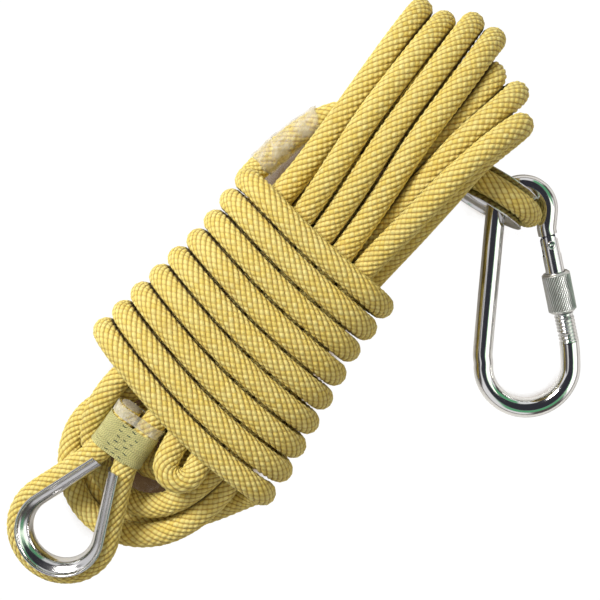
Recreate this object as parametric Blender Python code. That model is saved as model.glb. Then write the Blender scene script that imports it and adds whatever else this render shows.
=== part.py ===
"""Climbing rope with two thimble eyes, coiled in long loops and wrapped with
nine turns of its own tail, with a screw-lock snap hook on one eye.

The coil lies along X on its underside. The wraps run across Y. The free eye is
at -X and the eye with the hook comes out of the coil's side at -Y.
Lengths below are in millimetres; meshes are written in metres.
"""
import math

import bmesh
import bpy
import numpy as np
from mathutils import Matrix, Vector

for _o in list(bpy.data.objects):
    bpy.data.objects.remove(_o)

MM = 0.001

# ---- driving dimensions, mm -------------------------------------------------
ROPE_R = 5.9           # sheath radius
BORE_R = 4.7           # inside of the sheath
CORE_R = 4.4           # load-bearing core
EYE_ROPE_R = 5.5       # sheath radius where the thimble squeezes it
THIMBLE_WALL = 1.1
THIMBLE_LIP = 8.3      # half width over the thimble's rolled edges
EYE_RI = 14.8          # inside radius of the thimble's round end
EYE_LEN = 40.2         # round end's centre to the thimble's point
EYE_OFF = 7.1          # thimble's inside face to the rope's centre
LEG = 6.2              # half spacing of the two ropes in the neck
WHIP_S0, WHIP_S1 = 45.5, 63.0
HOOK_WHIP_S1 = 59.5
JOINT_GAP = 6.3        # the eye's rounded rope end turns in this radius

FREE_C = np.array((-154.0, 12.5, 29.4))
FREE_PIVOT = np.array((-85.5, 15.0, 42.6))
HOOK_C = np.array((95.6, -51.5, 28.2))
HOOK_YAW = 6.3         # degrees the hook eye's plane is turned from Y
HOOK_NECK = 66.5       # round end's centre to the hook eye's joint

WIRE_R = 4.75          # snap hook bar
GATE_R = 4.5
TANG_T = 3.6           # hinge tang between the gate's two cheeks
SLOT_T = 4.2
RIVET_R = 1.35
SLEEVE_R, SLEEVE_BORE, SLEEVE_LEN = 6.85, 5.1, 19.7
SLEEVE_TRAVEL = 13.0
THREAD_CREST, THREAD_ROOT, THREAD_PITCH = 4.75, 4.25, 1.75
GATE_OPEN = 28.0
PLUNGER_LIFT = 1.2

# ---- the long run's course --------------------------------------------------

D = 12.35          # least centre distance of two rope turns, mm
N_WRAPS = 9
WRAP_PITCH = 12.4
WRAP_X0 = -74.2
WRAP_ZC = 30.7
WRAP_B = 24.4      # half height of the wrap centre line
STEP = 6.0


def wrap_half(i):
    return 54.0 - 11.0 * min(1.0, i / 6.0) if i < 6 else 43.0


def catmull(points, step):
    p = np.array(points, float)
    a = np.vstack([2 * p[0] - p[1], p, 2 * p[-1] - p[-2]])
    out = []
    for k in range(1, len(a) - 2):
        p0, p1, p2, p3 = a[k - 1], a[k], a[k + 1], a[k + 2]
        n = max(2, int(np.linalg.norm(p2 - p1) / 1.0))
        for t in np.linspace(0, 1, n, endpoint=False):
            d1 = math.sqrt(np.linalg.norm(p1 - p0)) + 1e-9
            d2 = math.sqrt(np.linalg.norm(p2 - p1)) + 1e-9
            d3 = math.sqrt(np.linalg.norm(p3 - p2)) + 1e-9
            m1 = d2 * ((p1 - p0) / d1 - (p2 - p0) / (d1 + d2) + (p2 - p1) / d2)
            m2 = d2 * ((p2 - p1) / d2 - (p3 - p1) / (d2 + d3) + (p3 - p2) / d3)
            h = t * t * (3 - 2 * t)
            out.append(
                (1 - h) * p1 + h * p2
                + (t**3 - 2 * t * t + t) * m1 + (t**3 - t * t) * m2
            )
    out.append(a[-2])
    return resample(np.array(out), step)


def resample(p, step):
    s = np.concatenate([[0], np.cumsum(np.linalg.norm(np.diff(p, axis=0), axis=1))])
    n = max(2, int(round(s[-1] / step)) + 1)
    t = np.linspace(0, s[-1], n)
    return np.stack([np.interp(t, s, p[:, c]) for c in range(3)], axis=1)


SLOT = {}
for k in range(5):
    SLOT["T%d" % (k + 1)] = (22.1 - 12.3 * k, WRAP_ZC + 10.9)
for k in range(6):
    SLOT["M%d" % (k + 1)] = (30.8 - 12.3 * k, WRAP_ZC)
for k in range(5):
    SLOT["B%d" % (k + 1)] = (24.6 - 12.3 * k, WRAP_ZC - 10.9)
# finger: top slot, return slot, tip (x, y), top height at the tip, (y, z) of the
# top strand and of the return strand where they cross X = 96
FINGERS = [
    ("T1", "B1", 163, 25.0, 50, 7, (25, 51.5), (27, 6.2)),
    ("T2", "B2", 164, 14.6, 53, 7, (12.8, 54), (15, 6.2)),
    ("T3", "B3", 171, 4.0, 54, 7, (0.5, 57), (2.7, 6.2)),
    ("T4", "B4", 171, -8.2, 56, 7, (-11.5, 60), (-9.6, 6.2)),
    ("M4", "M3", 159, -22.5, 53, 27, (-17, 49), (10, 44.5)),
    ("M5", "M2", 158, -34, 58, 30, (-23, 63.5), (-2, 47)),
    ("T5", "M6", 144, -44.5, 66, 41, (-33, 69.5), (-39, 58.7)),
]


def finger(k, forward):
    a, b, xt, yt, zt, zb, c96, r96 = FINGERS[k]
    ya, za = SLOT[a]
    yb, zb0 = SLOT[b]
    r = (zt - zb) / 2.0
    xc = xt - 6.0 - r
    zc = (zt + zb) / 2.0
    top = [(-20, ya, za), (10, ya, za), (34, ya, za + 1),
           (64, 0.5 * (ya + c96[0]), 0.5 * (za + c96[1]) + 1),
           (94, c96[0], c96[1])]
    tip = [(xc, yt, zt), (xc + 0.72 * r, yt, zc + 0.72 * r), (xc + r, yt, zc),
           (xc + 0.72 * r, yt, zc - 0.72 * r), (xc, yt, zb)]
    ret = [(94, r96[0], r96[1]), (64, 0.5 * (yb + r96[0]), 0.5 * (zb0 + r96[1])),
           (34, yb, zb0), (10, yb, zb0), (-20, yb, zb0)]
    pts = top + tip + ret
    return pts if forward else pts[::-1]


def main_controls(eye_end, tail):
    """Control stations of the long run, from the free eye's neck to the tail."""
    c = []
    c += eye_end
    c += [(-60, 13.5, SLOT["T2"][1] + 0.5)] + finger(1, True)                    # T2 > B2
    c += [(-74, 15, 17), (-96, 19, 6.3), (-114, 15, 6.2), (-125, 0, 6.2), (-114, -15, 6.2), (-96, -19, 6.3), (-74, -14, 17)]
    c += finger(3, False)                                                      # B4 > T4
    c += [(-74, -14, 42), (-90, -23, 45), (-104, -28, 46.5), (-116, -22, 46), (-118, -11, 45), (-107, -5, 44.5), (-91, -4, 43.5), (-74, -1.5, 42)]
    c += finger(2, True)                                                       # T3 > B3
    c += [(-74, -1, 17), (-92, -2.5, 7), (-104, -2.5, 11), (-109, -2.5, 19.5), (-104, -2.5, 28), (-92, -3, 32), (-74, -5, 31)]
    c += finger(4, True)                                                       # M4 > M3
    c += [(-74, 9, 30), (-96, 13, 22), (-112, 11, 19), (-122, -3, 18.6), (-112, -16, 19), (-96, -18, 22), (-74, -18, 30)]
    c += finger(5, True)                                                       # M5 > M2
    c += [(-74, 24, 30), (-96, 38, 24), (-120, 43, 19), (-141, 32, 18.6), (-151, 6, 18.6), (-146, -20, 18.6), (-124, -38, 19), (-98, -40, 24), (-74, -33, 30)]
    c += finger(6, False)                                                      # M6 > T5
    c += [(-74, -26, 41), (-96, -29, 34), (-116, -29, 22), (-132, -17, 18.8), (-138, 0, 18.6), (-132, 17, 18.8), (-116, 29, 22), (-96, 29, 34), (-74, 26, 41)]
    c += finger(0, True)                                                       # T1 > B1
    c += [(-74, 30, 16), (-96, 36, 7), (-122, 37, 6.2), (-140, 24, 6.2), (-146, 0, 6.2), (-140, -22, 6.2), (-124, -36, 6.2), (-108, -38, 6.2), (-95, -42, 6.4), (-87, -49, 10.5)]
    # wraps, one turn after another
    w = []
    for i in range(N_WRAPS):
        xc = WRAP_X0 + WRAP_PITCH * i
        s = 8.0 - 4.0 * i / (N_WRAPS - 1)
        s2 = 8.0 - 4.0 * min(1.0, (i + 1) / (N_WRAPS - 1))
        last = i == N_WRAPS - 1
        for q in range(0, 18 if last else 32):
            ph = math.pi - 2 * math.pi * (q + (2 if i == 0 else 0)) / 32.0
            if i == 0 and q >= 30:
                break
            f = (math.pi - ph) / (2 * math.pi)
            a = wrap_half(i + f)
            cy, cz = math.cos(ph), math.sin(ph)
            m = (abs(cy) ** 2.5 + abs(cz) ** 2.5) ** (-1 / 2.5)
            y, z = a * cy * m, WRAP_ZC + WRAP_B * cz * m
            if cz >= 0:
                x = xc + s * (y / a)
            else:
                u = 0.5 - 0.5 * y / a
                x = (xc + s) * (1 - u) + (xc + WRAP_PITCH - s2) * u
            x -= (3.6 - 0.25 * i) * (1 - (y / a) ** 2) * max(0.0, cz)
            w.append((x, y, z))
    n0 = len(c)
    c += w
    c += tail
    return c, n0, n0 + len(w)


def relax(p, fixed_w, free_pts, extra, iters=400, step=STEP):
    """p: points of the run; fixed_w: how firmly each keeps its station (0..1);
    free_pts: spheres that don't move (x, y, z, least distance, 1 where the run's own
    ends join them); extra: how much thicker the run is at each point."""
    p0 = p.copy()
    n = len(p)
    skip = int(math.ceil(2.2 * D / step))
    idx = np.arange(n)
    pairs = None
    mob = 1.0 - fixed_w
    for it in range(iters):
        if it % 12 == 0:
            d = np.linalg.norm(p[:, None, :] - p[None, :, :], axis=2)
            i, j = np.where((d < D + 7.0) & (idx[None, :] - idx[:, None] > skip))
            pairs = (i, j)
            if len(free_pts):
                df = np.linalg.norm(p[:, None, :] - free_pts[None, :, :3], axis=2)
                own = (free_pts[None, :, 4] > 0) & ((idx < 10) | (idx > n - 11))[:, None]
                fi, fj = np.where((df < free_pts[None, :, 3] + 7.0) & ~own)
        # smooth
        lap = np.zeros_like(p)
        lap[1:-1] = 0.5 * (p[:-2] + p[2:]) - p[1:-1]
        bi = np.zeros_like(p)
        bi[2:-2] = lap[2:-2] - 0.5 * (lap[1:-3] + lap[3:-1])
        p = p + (mob[:, None]) * (0.05 * lap + 0.45 * bi)
        # stations
        hold = np.where(fixed_w > 0, fixed_w * 0.3, 0.0)
        p = p + hold[:, None] * (p0 - p)
        # contacts: nearest points of the two short pieces
        for _ in range(2):
            i, j = pairs
            ti = np.zeros_like(p)
            ti[1:-1] = p[2:] - p[:-2]
            ti[0], ti[-1] = p[1] - p[0], p[-1] - p[-2]
            ti /= np.linalg.norm(ti, axis=1)[:, None] + 1e-9
            v = p[j] - p[i]
            # take out the part along the rope so offset stations count as parallel
            tm = ti[i] + np.sign(np.sum(ti[i] * ti[j], axis=1))[:, None] * ti[j]
            tm /= np.linalg.norm(tm, axis=1)[:, None] + 1e-9
            par = np.abs(np.sum(ti[i] * ti[j], axis=1)) > 0.8
            al = np.sum(v * tm, axis=1)
            al = np.where(par, np.clip(al, -0.5 * step, 0.5 * step), 0.0)
            v2 = v - al[:, None] * tm
            dist = np.linalg.norm(v2, axis=1) + 1e-9
            pen = np.clip(D + extra[i] + extra[j] - dist, 0, None)
            push = (v2 / dist[:, None]) * pen[:, None]
            wi, wj = mob[i], mob[j]
            tot = wi + wj + 1e-6
            acc = np.zeros_like(p)
            cnt = np.zeros(n)
            m = pen > 0
            np.add.at(acc, i[m], -push[m] * (wi / tot)[m][:, None])
            np.add.at(acc, j[m], push[m] * (wj / tot)[m][:, None])
            np.add.at(cnt, i[m], 1)
            np.add.at(cnt, j[m], 1)
            if len(free_pts):
                v = p[fi] - free_pts[fj, :3]
                dist = np.linalg.norm(v, axis=1) + 1e-9
                pen = np.clip(free_pts[fj, 3] + extra[fi] - dist, 0, None)
                m = pen > 0
                np.add.at(acc, fi[m], (v / dist[:, None] * pen[:, None])[m])
                np.add.at(cnt, fi[m], 1)
            p = p + 0.9 * acc / np.maximum(1, cnt * 0.55)[:, None] * (mob[:, None] > 0.02)
            p[:, 2] = np.maximum(p[:, 2], 6.15 + extra)
    return p


# ---- eyes -------------------------------------------------------------------
UP = np.array((0.0, 0.0, 1.0))
EYE_ALPHA = math.asin(EYE_RI / EYE_LEN)


def unit(v):
    v = np.asarray(v, float)
    return v / np.linalg.norm(v)


def leg_half(s):
    """Half spacing of the rope's two legs at s from the round end's centre."""
    apex = (EYE_RI + EYE_OFF) / math.sin(EYE_ALPHA)
    raw = (apex - s) * math.tan(EYE_ALPHA)
    k = (raw - LEG) / 1.2
    return LEG + 1.2 * (k if k > 30 else math.log1p(math.exp(k)))


def drop(off, s_end, arc_steps, leg_steps):
    """Half of a teardrop, offset off from the thimble's inside face: (s, l)."""
    r = EYE_RI + off
    th0 = math.pi / 2 - EYE_ALPHA
    pts = [(r * math.cos(t), r * math.sin(t)) for t in np.linspace(math.pi, th0, arc_steps)]
    s0 = pts[-1][0]
    for s in np.linspace(s0, s_end, leg_steps + 1)[1:]:
        if off > 3:
            pts.append((s, leg_half(s)))
        else:
            pts.append((s, (EYE_LEN - s) * math.tan(EYE_ALPHA) + off / math.cos(EYE_ALPHA)))
    return pts


class Eye:
    def __init__(self, centre, neck_dir, lat, pivot_s):
        self.c, self.e, self.lat = centre, unit(neck_dir), unit(lat)
        self.n = np.cross(self.e, self.lat)
        self.ps = pivot_s

    def at(self, s, l, n=0.0):
        return self.c + self.e * s + self.lat * l + self.n * n


_e = unit(FREE_PIVOT - FREE_C)
_lat = unit(np.cross(UP, _e))
FREE = Eye(FREE_C, _e, _lat, float(np.linalg.norm(FREE_PIVOT - FREE_C)))
_h = math.radians(HOOK_YAW)
HOOK = Eye(HOOK_C, (-math.sin(_h), math.cos(_h), 0.0), UP, HOOK_NECK)


def main_run():
    """Centre line of the long run, mm, from the free eye to the hook eye."""
    obs = []
    for eye, s1, whip in ((FREE, FREE.ps + 2, WHIP_S1), (HOOK, HOOK.ps + 0.5, HOOK_WHIP_S1)):
        for s, l in drop(EYE_OFF, s1, 24, 34):
            near = 13.9 if s > WHIP_S0 - 2 else 12.7
            if eye is HOOK and s > WHIP_S0 - 2:
                near = 14.1
            for sign in (-1, 1):
                q = eye.at(s, sign * l)
                obs.append((*q, near, 1.0 if sign < 0 and s > eye.ps - 9 else 0.0))
        for off, (s, l) in [(4.0, q) for q in drop(4.0 - 1e-9, 38.0, 20, 8)]:
            l = (EYE_LEN - s) * math.tan(EYE_ALPHA) + off / math.cos(EYE_ALPHA) if s > EYE_RI else l
            for sign in (-1, 1):
                for n in (-5.6, 5.6):
                    obs.append((*eye.at(s, sign * l, n), 9.9, 0.0))
    f_dir = unit((1.0, -0.02, -0.04))
    start = FREE.at(FREE.ps, -LEG) + f_dir * JOINT_GAP
    end = HOOK.at(HOOK.ps, -LEG) + HOOK.e * JOINT_GAP
    tail = [(31, 46.5, 14), (42, 47, 13.5), (56, 42.5, 16), (70, 38, 20), (80, 34, 22),
            tuple(end + np.array((-3.5, 6.0, 0.0))), tuple(end)]
    c, n0, n1 = main_controls([tuple(start)], tail)
    cw = np.zeros(len(c))
    cw[0] = cw[-1] = 1.0
    cw[n0:n1] = 0.55
    pts = catmull(c, STEP)
    pos = []
    for k in range(len(c)):
        lo = pos[-1] if pos else 0
        hi = min(len(pts), lo + 14)
        pos.append(lo + int(np.argmin(np.linalg.norm(pts[lo:hi] - np.array(c[k]), axis=1))))
    w = np.interp(np.arange(len(pts)), pos, cw)
    w[0] = w[-1] = 1.0
    w[1] = w[-2] = 0.98
    extra = np.zeros(len(pts))
    extra[pos[n1 - 1] + 2:] = 1.5
    return relax(pts, w, np.array(obs), extra), pos[n1 - 1]


# ---- mesh helpers -----------------------------------------------------------
def frames(p):
    """Tangents and two side directions carried along p without twist."""
    t = np.zeros_like(p)
    t[1:-1] = p[2:] - p[:-2]
    t[0], t[-1] = p[1] - p[0], p[-1] - p[-2]
    t /= np.linalg.norm(t, axis=1)[:, None]
    u = np.zeros_like(p)
    a = np.array((0.0, 0.0, 1.0)) if abs(t[0][2]) < 0.8 else np.array((0.0, 1.0, 0.0))
    u[0] = unit(a - t[0] * np.dot(a, t[0]))
    for i in range(1, len(p)):
        v = u[i - 1] - t[i] * np.dot(u[i - 1], t[i])
        u[i] = unit(v)
    return t, u, np.cross(t, u)


def thin_out(p, sagitta=0.75, turn=33.0, longest=45.0):
    """Keep the fewest points of a smooth line that follow it closely."""
    keep = [0]
    i = 0
    while i < len(p) - 1:
        j = i + 1
        while j < len(p) - 1:
            k = j + 1
            chord = p[k] - p[i]
            ln = np.linalg.norm(chord)
            mid = p[i:k + 1] - p[i]
            away = mid - np.outer(mid @ chord / ln**2, chord)
            t0, t1 = unit(p[i + 1] - p[i]), unit(p[k] - p[k - 1])
            ang = math.degrees(math.acos(max(-1, min(1, float(np.dot(t0, t1))))))
            if np.linalg.norm(away, axis=1).max() > sagitta or ang > turn or ln > longest:
                break
            j = k
        keep.append(j)
        i = j
    return p[keep]


def smooth_line(p, step):
    """Chord-length spline through p, resampled."""
    return catmull([tuple(q) for q in p], step)


def ring(c, u, v, r, n, phase=0.0):
    return [c + u * (r * math.cos(2 * math.pi * k / n + phase)) + v * (r * math.sin(2 * math.pi * k / n + phase)) for k in range(n)]


def zip_rings(faces, a, b):
    """Triangles between two closed rings of different counts, same start angle."""
    m, n = len(a), len(b)
    i = j = 0
    while i < m or j < n:
        if j >= n or (i < m and (i + 1) / m <= (j + 1) / n):
            faces.append((a[i % m], a[(i + 1) % m], b[j % n]))
            i += 1
        else:
            faces.append((a[i % m], b[(j + 1) % n], b[j % n]))
            j += 1


def tube_mesh(p, radii, sides, bore=None, bore_sides=5):
    """A round tube along p. With bore, its inside is open at both ends."""
    t, u, v = frames(p)
    verts, faces = [], []
    rings = []
    for k in range(len(p)):
        base = len(verts)
        verts += ring(p[k], u[k], v[k], radii[k], sides)
        rings.append(list(range(base, base + sides)))
    for a, b in zip(rings, rings[1:]):
        for k in range(sides):
            faces.append((a[k], a[(k + 1) % sides], b[(k + 1) % sides], b[k]))
    if bore is None:
        faces.append(tuple(reversed(rings[0])))
        faces.append(tuple(rings[-1]))
    else:
        inner = []
        for k in range(len(p)):
            base = len(verts)
            verts += ring(p[k], u[k], v[k], bore[k], bore_sides)
            inner.append(list(range(base, base + bore_sides)))
        for a, b in zip(inner, inner[1:]):
            for k in range(bore_sides):
                faces.append((a[k], b[k], b[(k + 1) % bore_sides], a[(k + 1) % bore_sides]))
        f0, f1 = [], []
        zip_rings(f0, rings[0], inner[0])
        zip_rings(f1, rings[-1], inner[-1])
        faces += [tuple(reversed(f)) for f in f0]
        faces += f1
    return verts, faces


def sweep_profile(centres, us, vs, profiles, close_ends=True):
    """Loft of equal-count closed profiles; each profile is (u, v) pairs."""
    verts, faces, rings = [], [], []
    for c, u, v, prof in zip(centres, us, vs, profiles):
        base = len(verts)
        verts += [c + u * a + v * b for a, b in prof]
        rings.append(list(range(base, base + len(prof))))
    n = len(profiles[0])
    for a, b in zip(rings, rings[1:]):
        for k in range(n):
            faces.append((a[k], a[(k + 1) % n], b[(k + 1) % n], b[k]))
    if close_ends:
        faces.append(tuple(reversed(rings[0])))
        faces.append(tuple(rings[-1]))
    return verts, faces


MATERIALS = {
    "rope_yarn": ((0.66, 0.50, 0.13), 0.0, 0.8),
    "core_yarn": ((0.78, 0.77, 0.72), 0.0, 0.85),
    "steel": ((0.74, 0.75, 0.76), 1.0, 0.22),
    "whipping_thread": ((0.72, 0.72, 0.42), 0.0, 0.7),
    "lock_thread": ((0.05, 0.20, 0.10), 0.0, 0.7),
    "clear_sleeve": ((0.80, 0.76, 0.62), 0.0, 0.4),
    "spring_steel": ((0.55, 0.56, 0.58), 1.0, 0.3),
    "satin_steel": ((0.66, 0.67, 0.69), 1.0, 0.38),
}


def material(node, kind):
    col, metal, rough = MATERIALS[kind]
    m = bpy.data.materials.new(node)
    m.use_nodes = True
    b = m.node_tree.nodes["Principled BSDF"]
    b.inputs["Base Color"].default_value = (*col, 1.0)
    b.inputs["Metallic"].default_value = metal
    b.inputs["Roughness"].default_value = rough
    return m


def add(name, verts, faces, kind, origin=(0, 0, 0), triangulate=True):
    """A closed mesh object whose origin is at origin (mm)."""
    o = np.array(origin, float)
    me = bpy.data.meshes.new(name)
    me.from_pydata([tuple((np.array(p) - o) * MM) for p in verts], [], [tuple(int(k) for k in f) for f in faces])
    bm = bmesh.new()
    bm.from_mesh(me)
    bmesh.ops.remove_doubles(bm, verts=bm.verts, dist=1e-7)
    bmesh.ops.recalc_face_normals(bm, faces=bm.faces)
    if triangulate:
        bmesh.ops.triangulate(bm, faces=bm.faces, ngon_method="EAR_CLIP")
    bm.to_mesh(me)
    bm.free()
    me.validate()
    ob = bpy.data.objects.new(name, me)
    ob.location = tuple(o * MM)
    bpy.context.collection.objects.link(ob)
    if kind:
        me.materials.append(material(name, kind))
    return ob


def cut(ob, cutters, op="DIFFERENCE"):
    for c in cutters:
        c.hide_render = True
        c.display_type = "WIRE"
        mod = ob.modifiers.new(c.name, "BOOLEAN")
        mod.operation = op
        mod.solver = "EXACT"
        mod.object = c
    bpy.context.view_layer.update()
    dg = bpy.context.evaluated_depsgraph_get()
    me = bpy.data.meshes.new_from_object(ob.evaluated_get(dg))
    ob.modifiers.clear()
    old = ob.data
    mats = list(old.materials)
    ob.data = me
    ob.data.materials.clear()
    for m in mats:
        ob.data.materials.append(m)
    for c in cutters:
        bpy.data.objects.remove(c)


# ---- the long run, sheath and core ------------------------------------------
LINE, TAIL_I = main_run()
FINE = smooth_line(LINE, 2.0)
_d = np.linalg.norm(FINE - np.array((36.0, 47.0, 14.0)), axis=1)
_it = int(np.argmin(_d))
RUN = np.vstack([thin_out(FINE[:_it + 1], 0.6, 27.0), thin_out(FINE[_it:], 0.1, 12.0, 8.0)[1:]])
_n = len(RUN)
v, f = tube_mesh(RUN, [ROPE_R] * _n, 7, [BORE_R] * _n, 5)
add("rope_sheath", v, f, "rope_yarn")
v, f = tube_mesh(RUN, [CORE_R] * _n, 5)
add("rope_core", v, f, "core_yarn")

# clear sleeve over the tail where it leaves the last wrap
_d = np.linalg.norm(FINE - np.array((40.0, 47.0, 14.0)), axis=1)
_i0 = int(np.argmin(_d))
_d = np.linalg.norm(FINE - np.array((76.0, 36.0, 21.5)), axis=1)
_i1 = int(np.argmin(_d))
_s = FINE[_i0:_i1 + 1][::2]
v, f = tube_mesh(_s, [7.3] * len(_s), 9, [6.6] * len(_s), 9)
add("tail_sleeve", v, f, "clear_sleeve")


# ---- thimble eyes -----------------------------------------------------------
def racetrack(r, half, n):
    """Closed outline round two circles of radius r, 2 * half apart: (l, n) pairs."""
    out = []
    for k in range(n + 1):
        a = -math.pi / 2 + math.pi * k / n
        out.append((half + r * math.cos(a), r * math.sin(a)))
    for k in range(n + 1):
        a = math.pi / 2 + math.pi * k / n
        out.append((-half + r * math.cos(a), r * math.sin(a)))
    return out


def band(eye, s0, s1, r_in, r_out, ridges, ridge):
    """Tube round both ropes of the neck, open at both ends."""
    count = max(2, 2 * ridges + 1)
    outer_s = np.linspace(s0, s1, count)
    prof, cs = [], []
    for k, s in enumerate(outer_s):
        r = r_out + (ridge if k % 2 else 0.0)
        prof.append(racetrack(r, leg_half(s), 6))
        cs.append(eye.at(s, 0))
    for s in np.linspace(s1, s0, 6 if s1 - s0 > 8 else 3):
        prof.append(racetrack(r_in, leg_half(s), 6))
        cs.append(eye.at(s, 0))
    verts, faces, rings = [], [], []
    for c, pr in zip(cs, prof):
        base = len(verts)
        verts += [c + eye.lat * a + eye.n * b for a, b in pr]
        rings.append(list(range(base, base + len(pr))))
    n = len(prof[0])
    for a, b in zip(rings, rings[1:] + rings[:1]):
        for k in range(n):
            faces.append((a[k], a[(k + 1) % n], b[(k + 1) % n], b[k]))
    return verts, faces


STITCH_ROWS, STITCH_HALF, STITCH_LIFT = 4, 5.2, 7.77
STITCH_N = STITCH_ROWS * 3 + (STITCH_ROWS - 1) * 3


def stitch_line(eye, whip_s1):
    """The locking thread's course over the whipping: straight rows with round turns."""
    gap = (whip_s1 - WHIP_S0 - 6.0) / (STITCH_ROWS - 1)
    out = []
    for k in range(STITCH_ROWS):
        s = WHIP_S0 + 3.0 + gap * k
        side = 1.0 if k % 2 == 0 else -1.0
        out += [eye.at(s, side * l, STITCH_LIFT) for l in (-STITCH_HALF, 0.0, STITCH_HALF)]
        if k < STITCH_ROWS - 1:
            for a in (-45, 0, 45):
                a = math.radians(a)
                out.append(eye.at(s + gap / 2 + gap / 2 * math.sin(a), side * (STITCH_HALF + gap / 2 * math.cos(a)), STITCH_LIFT))
    return np.array(out)


def build_eye(tag, eye, whip_s1, sleeve):
    pivot = eye.at(eye.ps, 0)
    # rope: from the joint, round the thimble, back to the cut end
    half = drop(EYE_OFF, whip_s1 + 0.8, 40, 26)
    extra = list(np.arange(whip_s1 + 2.5, eye.ps - 1.0, 3.0))
    a = [(s, -l) for s, l in half] + [(s, -leg_half(s)) for s in extra + [eye.ps, eye.ps + 1.9, eye.ps + 3.5]]
    b = [(s, l) for s, l in half[1:]] + [(s, leg_half(s)) for s in extra + [eye.ps - 0.6]]
    path = [eye.at(s, l) for s, l in reversed(a)] + [eye.at(s, l) for s, l in b]
    sv = [s for s, l in reversed(a)] + [s for s, l in b]
    path = np.array(path)
    # thin the middle only, so the rounded end keeps its stations
    mid = thin_out(path[3:], 0.3, 24.0, 16.0)
    pts = np.vstack([path[:3], mid])
    rad, bore, core = [], [], []
    for q in pts:
        s = float(np.dot(q - eye.c, eye.e))
        k = min(1.0, max(0.0, (s - 34.0) / 10.0))
        r = EYE_ROPE_R + (ROPE_R - EYE_ROPE_R) * k
        rad.append(r)
        bore.append(BORE_R - 0.35 * (1 - k))
        core.append(CORE_R - 0.35 * (1 - k))
    rad[0], rad[1], bore[0], core[0] = 4.95, 5.6, 4.1, 3.85
    v, f = tube_mesh(pts, rad, 7, bore, 5)
    add(tag + "_sheath", v, f, "rope_yarn", pivot)
    v, f = tube_mesh(pts, core, 5)
    add(tag + "_core", v, f, "core_yarn", pivot)
    # thimble: a gutter bent to a teardrop, its two ends meeting near the point
    arc = [math.radians(t) for t in (-72, -36, 0, 36, 72)]
    prof = [(EYE_OFF - EYE_OFF * math.cos(t), EYE_OFF * math.sin(t)) for t in arc]
    prof += [(5.7, THIMBLE_LIP), (6.6, THIMBLE_LIP - 0.2)]
    inner = EYE_OFF - THIMBLE_WALL
    prof += [(EYE_OFF - inner * math.cos(t), inner * math.sin(t)) for t in reversed(arc)]
    prof += [(6.6, -THIMBLE_LIP + 0.2), (5.7, -THIMBLE_LIP)]
    th0 = math.pi / 2 - EYE_ALPHA
    st = []
    for s in (37.6, 27.0, 16.0):
        st.append(("leg", s, -1))
    for t in np.linspace(-th0, -2 * math.pi + th0, 16):
        st.append(("arc", t, 0))
    for s in (16.0, 27.0, 37.6):
        st.append(("leg", s, 1))
    cs, us, vs = [], [], []
    for kind, q, sign in st:
        if kind == "arc":
            d = (math.cos(q), math.sin(q))
            p = (EYE_RI * d[0], EYE_RI * d[1])
        else:
            d = (math.sin(EYE_ALPHA), sign * math.cos(EYE_ALPHA))
            p = (q, sign * (EYE_LEN - q) * math.tan(EYE_ALPHA))
        cs.append(eye.at(*p))
        us.append(eye.e * d[0] + eye.lat * d[1])
        vs.append(eye.n)
    v, f = sweep_profile(cs, us, vs, [prof] * len(cs))
    add(tag + "_thimble", v, f, "steel", pivot)
    v, f = band(eye, WHIP_S0, whip_s1, 6.4, 7.0, 6, 0.35)
    add(tag + "_whipping", v, f, "whipping_thread", pivot)
    v, f = band(eye, sleeve[0], sleeve[1], 6.3, 7.1, 0, 0.0)
    add(tag + "_splice_sleeve", v, f, "clear_sleeve", pivot)
    # locking stitches: one thread worked to and fro over the whipping
    v, f = tube_mesh(stitch_line(eye, whip_s1), [0.28] * STITCH_N, 5)
    add(tag + "_lock_stitch", v, f, "lock_thread", pivot)
    return pivot


build_eye("free_eye", FREE, WHIP_S1, (63.8, FREE.ps - 1.2))
build_eye("hook_eye", HOOK, HOOK_WHIP_S1, (60.3, HOOK.ps - 1.2))


# ---- screw-lock snap hook ---------------------------------------------------
# drawn in its own plane: x right, y up, z towards the viewer, origin at the top
# of the small bow's centre line
G_HINGE = np.array((14.5, -29.0))                 # rivet
G_DIR = unit((0.222, -0.975))                     # along the gate to its tip
G_IN = np.array((G_DIR[1], -G_DIR[0]))            # towards the hook's inside
SEAM, LAP0, LAP1, STRAIGHT = 4.9, 36.6, 44.3, 49.0


def bow(cx, cy, r, a0, a1, n):
    return [(cx + r * math.cos(math.radians(t)), cy + r * math.sin(math.radians(t))) for t in np.linspace(a0, a1, n)]


def bar_line():
    """Centre line of the bar from the hinge end round to the nose, (x, y)."""
    hinge = G_HINGE - G_DIR * SEAM
    pts = [tuple(hinge), tuple(hinge - G_DIR * 3.0)]
    pts += bow(0.8, -12.6, 12.4, 8, 172, 12)
    pts += [(-12.4, -20.5), (-13.6, -38.0), (-15.0, -58.0), (-16.2, -76.0), (-16.6, -84.0)]
    pts += bow(5.2, -88.6, 21.4, 176, 352, 17)
    nose = G_HINGE + G_DIR * STRAIGHT
    pts += [tuple(nose), tuple(G_HINGE + G_DIR * LAP0)]
    p3 = catmull([(x, y, 0.0) for x, y in pts], 1.0)
    return p3


BAR = bar_line()
# place the hook: the bar's point inside the thimble, and the slope to the floor
HX, HY = unit((0.607, -0.795, 0.0)), unit((0.795, 0.607, 0.0))
THROAT = np.array((-9.94, -6.4))                  # bar point held by the thimble
SEAT = HOOK.at(-5.9, -5.2, 0.9)                        # where it sits in the eye
BIG_BOW_Z = WIRE_R + 0.4


def hook_axes():
    drop_z = SEAT[2] - BIG_BOW_Z
    low = (5.2, -110.0)
    run = float(np.hypot(low[0] - THROAT[0], low[1] - THROAT[1]))
    tilt = math.asin(drop_z / run)
    # tip the hook's plane about its cross direction
    y = unit(HY * math.cos(tilt) + UP * math.sin(tilt))
    x = HX
    return x, y, np.cross(x, y)


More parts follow.
